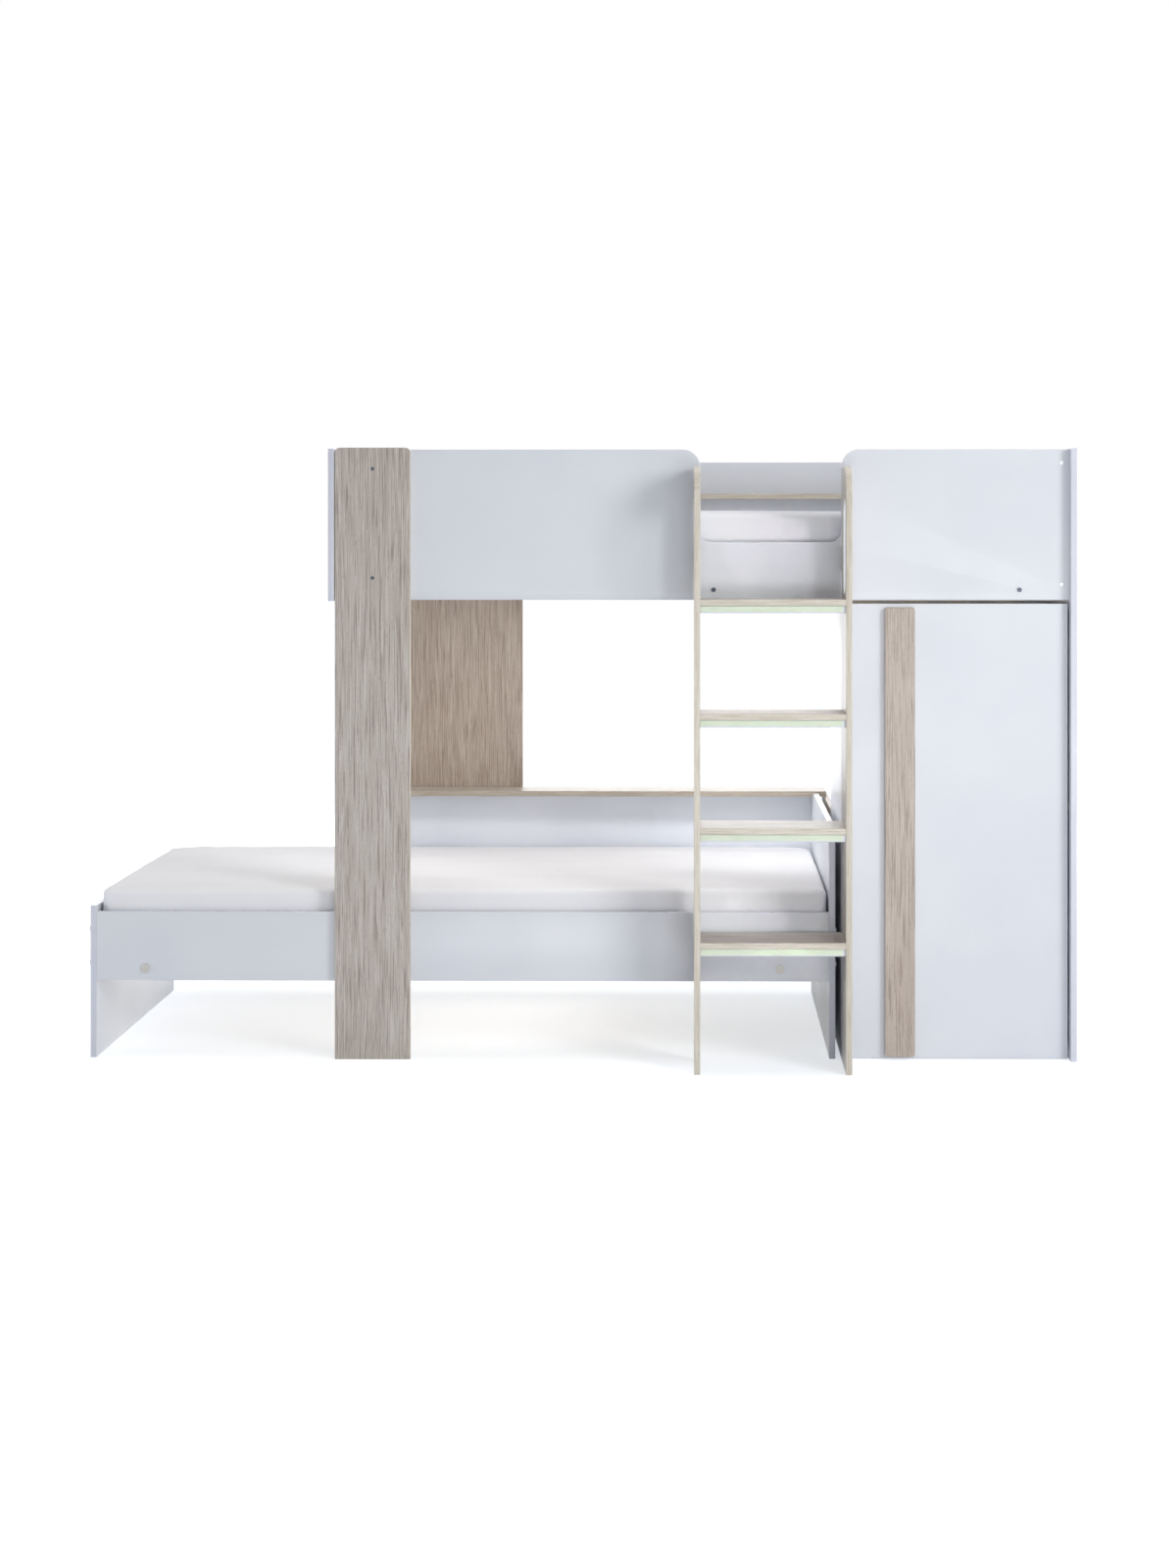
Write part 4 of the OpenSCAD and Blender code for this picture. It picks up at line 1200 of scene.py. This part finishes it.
@dataclass
class Bedding:
    """Both mattresses, each in its fitted sheet.

    Attributes:
        bench: The shared bench.
        cuts: Cuts across each side of the starting block.
        proud: How far the sheet stands out from the CAD mattress at its ends and sides.
        corner: Radius of the upright corners at the front in metres.
        back_corner: Radius of the ones at the back.
        rim: Radius of the top and bottom rims in metres.
        crown: How much higher the middle is than the rim.
        draw: How far the sides pull in between the corners, and the ends swell.
        draw_power: How closely that keeps to the sides.
        cap: The most that a point may move in the simulation.
        frames: Simulated frames.
        pressure: Air pressure of the cloth.
        stretching: How the cloth resists being pulled or pushed.
        bending: How it resists being bent.
        fill: How full the mattress is, 0 to 1; not used.
        smooth_angle: Largest angle that is shaded smooth.
        waves: Broad unevenness everywhere.
        puckers: Small folds round the corners.
        puckers_reach: How far they reach from an end and from a side.
        ripples: Long folds along the border.
        ripples_reach: How far those reach.
    """

    bench: Bench
    cuts: int = 59
    proud: float = 0.013
    corner: float = 0.030
    back_corner: float = 0.075
    rim: float = 0.017
    crown: float = 0.009
    draw: float = 0.003
    draw_power: int = 6
    cap: float = 0.002
    frames: int = 20
    pressure: float = 4.0
    stretching: float = 30
    bending: float = 6
    fill: float = 0.95
    smooth_angle: float = math.radians(60)
    waves: Fold = Fold((3.1, 2.3, 4.0), 0.8)
    puckers: Fold = Fold((26.0, 30.0, 9.0), 1.4, lifted=True)
    puckers_reach: tuple[float, float] = (0.22, 0.16)
    ripples: Fold = Fold((2.2, 9.0, 30.0), 0.9)
    ripples_reach: float = 0.05

    def build(self) -> None:
        """Makes the lower mattress, then the upper one from it."""
        lower = self.stuffed("lower_mattress")
        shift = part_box("bunk_mattress")[0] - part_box("lower_mattress")[0]
        upper = lower.copy()
        upper.data = lower.data.copy()
        upper.name = upper.data.name = "bunk_mattress_sheet"
        bpy.context.scene.collection.objects.link(upper)
        upper.data.transform(Matrix.Translation(shift))
        self.crease(lower, "lower_mattress", seed=3.7, reach=0.0016)
        self.crease(upper, "bunk_mattress", seed=11.3, reach=0.0030)
        for piece, node in ((lower, "lower_mattress"), (upper, "bunk_mattress")):
            self.bench.smooth(piece, self.smooth_angle)
            self.bench.finish(piece, FIXED_BODY, SHEET_COTTON, node)

    def eased(self, place: Vector, half: Vector) -> Vector:
        """Moves a point of a plain box to the mattress's form.

        Args:
            place: The point, from the box's middle.
            half: Half the box's size.

        Returns:
            The point with rounded corners and rims, crown and drawn-in sides.
        """
        corner = self.back_corner if place.y > 0 else self.corner
        beyond = Vector((
            max(abs(place.x) - half.x + corner, 0.0), max(abs(place.y) - half.y + corner, 0.0), 0.0,
        ))
        way = Vector((math.copysign(1.0, place.x), math.copysign(1.0, place.y), 1.0))
        at = place.copy()
        if beyond.x > 0 and beyond.y > 0:
            reach = max(beyond.x, beyond.y)
            inward = beyond.normalized()
            at.x = way.x * (half.x - corner + inward.x * reach)
            at.y = way.y * (half.y - corner + inward.y * reach)
            inside = corner - reach
        else:
            to_end, to_side = half.x - abs(place.x), half.y - abs(place.y)
            inside = min(to_end, to_side)
            inward = Vector((1.0, 0.0, 0.0) if to_end < to_side else (0.0, 1.0, 0.0))
        under = half.z - abs(place.z)
        if inside < self.rim and under < self.rim:
            step = Vector((self.rim - inside, self.rim - under))
            step *= max(step) / step.length
            pulled = self.rim - step.x - inside
            at.x -= way.x * inward.x * pulled
            at.y -= way.y * inward.y * pulled
            at.z = math.copysign(half.z - self.rim + step.y, place.z)
        bow_x = 1 - (at.x / half.x) ** 2
        bow_y = 1 - (at.y / half.y) ** 2
        at.x += way.x * self.draw * bow_y * abs(at.x / half.x) ** self.draw_power
        at.y -= way.y * self.draw * bow_x * abs(at.y / half.y) ** self.draw_power
        at.z += self.crown * bow_x * bow_y * max(at.z / half.z, 0.0)
        return at

    def stuffed(self, node: str) -> Object:
        """Blocks a mattress out and swells it with the cloth simulation.

        Args:
            node: The CAD mattress.

        Returns:
            The mattress in its sheet.
        """
        low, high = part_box(node)
        middle = (low + high) / 2
        half = (high - low) / 2 + Vector((self.proud, self.proud, -self.crown / 2))
        middle.z = low.z + half.z
        bpy.ops.object.select_all(action="DESELECT")
        bpy.ops.mesh.primitive_cube_add(size=2.0, location=(0, 0, 0))
        piece = bpy.context.active_object
        piece.name = piece.data.name = f"{node}_sheet"
        bpy.ops.object.mode_set(mode="EDIT")
        bpy.ops.mesh.select_all(action="SELECT")
        bpy.ops.mesh.subdivide(number_cuts=self.cuts)
        bpy.ops.object.mode_set(mode="OBJECT")
        for vert in piece.data.vertices:
            # The cubic lays the cuts closer together towards the edges.
            dense = Vector(tuple(c * (1.5 - 0.5 * c * c) for c in vert.co))
            vert.co = middle + self.eased(dense * half, half)
        rest = [v.co.copy() for v in piece.data.vertices]
        self.simulate(piece)
        for vert, start in zip(piece.data.vertices, rest):
            move = vert.co - start
            if move.length > self.cap:
                vert.co = start + move * (self.cap / move.length)
        for vert in piece.data.vertices:
            vert.co.z = max(vert.co.z, low.z)
        self.bench.apply(piece, "SUBSURF", levels=1, render_levels=1)
        return piece

    def simulate(self, piece: Object) -> None:
        """Runs the pressure simulation and applies it.

        Args:
            piece: The blocked-out mattress.
        """
        self.bench.alone(piece)
        cloth = piece.modifiers.new("Cloth", "CLOTH")
        settings = cloth.settings
        settings.quality = 5
        settings.use_pressure = True
        settings.uniform_pressure_force = self.pressure
        settings.effector_weights.gravity = 0
        settings.tension_stiffness = self.stretching
        settings.compression_stiffness = self.stretching
        settings.bending_stiffness = self.bending
        cloth.point_cache.frame_start = 1
        cloth.point_cache.frame_end = self.frames
        for frame_number in range(1, self.frames + 1):
            bpy.context.scene.frame_set(frame_number)
        bpy.ops.object.modifier_apply(modifier=cloth.name)
        bpy.context.scene.frame_set(1)

    def crease(self, piece: Object, node: str, seed: float, reach: float) -> None:
        """Pulls soft folds into the sheet at its corners and along its sides.

        Args:
            piece: The mattress in its sheet.
            node: The CAD mattress it stands for.
            seed: Where the folds are read, so that each sheet differs.
            reach: How deep a fold is in metres.
        """
        low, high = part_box(node)
        middle = (low + high) / 2
        half = (high - low) / 2
        normals = [vert.normal.copy() for vert in piece.data.vertices]
        for vert, normal in zip(piece.data.vertices, normals):
            local = vert.co - middle
            to_end = half.x - abs(local.x)
            to_side = half.y - abs(local.y)
            end_reach, side_reach = self.puckers_reach
            corner = fade(to_end, end_reach) * fade(to_side, side_reach)
            border = fade(min(to_end, to_side), self.ripples_reach)
            amount = (
                self.waves.at(local, seed) * self.waves.depth
                + self.puckers.at(local, seed) * corner * self.puckers.depth
                + self.ripples.at(local, seed) * border * self.ripples.depth
            )
            vert.co += normal * (amount * reach)
            vert.co.z = max(vert.co.z, low.z)


# ---------------- studio


@dataclass(frozen=True)
class SoftBox:
    """A lamp that the camera doesn't see.

    Attributes:
        name: Its name.
        at: Where it hangs.
        aim: What it points at.
        size: Its width and height.
        watts: Its power.
        spread: How widely it shines, in degrees.
        tint: Its colour.
    """

    name: str
    at: Triple
    aim: Triple
    size: tuple[float, float]
    watts: float
    spread: float = 180.0
    tint: Colour = (1.0, 1.0, 1.0)

    def hang(self) -> None:
        """Hangs the lamp."""
        data = bpy.data.lights.new(self.name, "AREA")
        data.spread = math.radians(self.spread)
        data.color = self.tint
        data.shape = "RECTANGLE"
        data.size, data.size_y = self.size
        data.energy = self.watts
        lamp = bpy.data.objects.new(self.name, data)
        bpy.context.scene.collection.objects.link(lamp)
        lamp.location = self.at
        lamp.visible_camera = False
        turn = (Vector(self.aim) - Vector(self.at)).to_track_quat("-Z", "Y")
        lamp.rotation_euler = turn.to_euler()


WARM = (1.0, 0.985, 0.955)
# Large boxes stand all round. Small ones lighten the low bed's surroundings, and three narrow
# ones a single tread, the entrance and the bunk shelf's edge.
SOFT_BOXES = (
    SoftBox("key_box", (4.2, -4.6, 2.6), (0.2, 0.0, 0.9), (2.0, 2.0), 143.0, tint=WARM),
    SoftBox("low_box", (1.0, -5.2, 0.45), (0.6, 0.2, 0.50), (2.4, 0.7), 42.0),
    SoftBox("left_box", (-4.0, -0.9, 1.0), (0.0, 0.1, 0.7), (1.6, 1.4), 28.0),
    SoftBox("right_box", (4.6, -0.4, 1.4), (0.0, 0.0, 0.8), (1.8, 1.8), 34.0, tint=WARM),
    SoftBox("top_box", (0.0, 0.6, 4.6), (0.0, 0.0, 0.0), (3.6, 3.0), 64.0),
    SoftBox("back_box", (0.2, 5.2, 1.5), (0.2, 0.0, 0.7), (6.0, 2.6), 76.0),
    SoftBox("under_bunk_box", (-0.01, -0.12, 1.17), (-0.01, 0.12, 0.0), (1.26, 0.5), 3.8),
    SoftBox("under_bed_box", (0.30, 0.1, 0.150), (-1.2, 0.1, 0.16), (0.7, 0.14), 0.85, 50.0),
    SoftBox(
        "back_left_box", (-0.45, -0.20, 1.10), (-0.58, 0.50, 0.52), (0.30, 0.12), 0.55, 110.0
    ),
    SoftBox("back_right_box", (0.46, -0.15, 1.12), (0.53, 0.50, 0.50), (0.24, 0.12), 1.00, 90.0),
    SoftBox("low_tread_box", (0.49, -5.60, 0.31), (0.49, 0.00, 0.31), (0.20, 0.03), 0.030, 3.0),
    SoftBox("entrance_box", (0.50, -5.60, 1.36), (0.50, 0.00, 1.36), (0.16, 0.08), 0.012, 3.5),
    SoftBox("cove_box", (0.49, 0.478, 1.487), (0.49, 0.563, 1.462), (0.60, 0.01), 0.03),
)

FRAME_HEIGHT = 1600  # pixels of the photograph's longer side
SENSOR = 36.0  # millimetres of the same side


@dataclass
class Studio:
    """The floor, the surroundings, the lamps and the camera.

    Attributes:
        floor_half: Half the floor's side in metres.
        floor_colour: What the floor gives back of the light.
        glow_colour: The floor's own light, which only the camera and mirrors see.
        glow: Strength of that light by the bed and far from it.
        glow_reach: Distances from the middle between which it changes.
        world_light: The surroundings' strength as a light.
        lens: The camera's focal length in millimetres.
        eye: Where the camera stands.
        yaw: How far it is turned to the left, in radians.
        shift: How far its frame is shifted.
    """

    floor_half: float = 60.0
    floor_colour: Colour = (0.84, 0.87, 0.92)
    glow_colour: Colour = (0.93, 0.965, 1.0)
    glow: tuple[float, float] = (0.60, 0.84)
    glow_reach: tuple[float, float] = (1.9, 4.2)
    world_light: float = 0.27
    lens: float = 2505.5 / FRAME_HEIGHT * SENSOR
    eye: Triple = (0.2869, -6.8784, 1.3636)
    yaw: float = 0.01130
    shift: tuple[float, float] = (-76.2 / FRAME_HEIGHT, -246.8 / FRAME_HEIGHT)

    def build(self) -> None:
        """Sets up the whole studio."""
        self.floor()
        self.world()
        for box in SOFT_BOXES:
            box.hang()
        self.camera()
        bpy.context.scene.view_settings.view_transform = "Standard"

    def floor(self) -> None:
        """Lays the pale floor."""
        bpy.ops.object.select_all(action="DESELECT")
        bpy.ops.mesh.primitive_plane_add(size=2 * self.floor_half, location=(0, 0, 0))
        floor = bpy.context.active_object
        floor.name = "studio_floor"
        made = bpy.data.materials.new("studio_floor")
        w = Wiring.fresh(made)
        diffuse = w.add("ShaderNodeBsdfDiffuse", self.floor_colour)
        place = w.add("ShaderNodeTexCoord").outputs["Object"]
        away = w.add("ShaderNodeVectorMath", place, operation="LENGTH").outputs["Value"]
        strength = w.times(w.directly_seen(), w.remap(away, *self.glow_reach, *self.glow))
        glow = w.add("ShaderNodeEmission", self.glow_colour, strength)
        both = w.add("ShaderNodeAddShader", diffuse.outputs[0], glow.outputs[0])
        w.add("ShaderNodeOutputMaterial", both.outputs[0])
        floor.data.materials.append(made)

    def world(self) -> None:
        """Makes the white surroundings, full white only where they are seen."""
        world = bpy.data.worlds.new("studio_world")
        w = Wiring.fresh(world)
        rest = 1.0 - self.world_light
        strength = w.math("MULTIPLY_ADD", w.directly_seen(), rest, self.world_light)
        back = w.add("ShaderNodeBackground", (1.0, 1.0, 1.0), strength)
        w.add("ShaderNodeOutputWorld", back.outputs[0])
        bpy.context.scene.world = world

    def camera(self) -> None:
        """Places the camera at the photograph's eye point."""
        data = bpy.data.cameras.new("view_camera")
        data.lens = self.lens
        data.sensor_width = SENSOR
        data.shift_x, data.shift_y = self.shift
        camera = bpy.data.objects.new("view_camera", data)
        bpy.context.scene.collection.objects.link(camera)
        camera.location = self.eye
        camera.rotation_euler = (math.pi / 2, 0.0, self.yaw)
        bpy.context.scene.camera = camera


def main() -> None:
    """Builds the bed's looks in order."""
    logging.basicConfig(level=logging.INFO, format="%(message)s")
    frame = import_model()
    bench = Bench(frame["nodes"])
    LowerBed(bench).build()
    UpperBunk(bench).build()
    Ladder(bench).build()
    Wardrobe(bench).build()
    Bedding(bench).build()
    Studio().build()
    LOG.info("%d pieces made", len(bench.made))


if __name__ == "__main__":
    main()
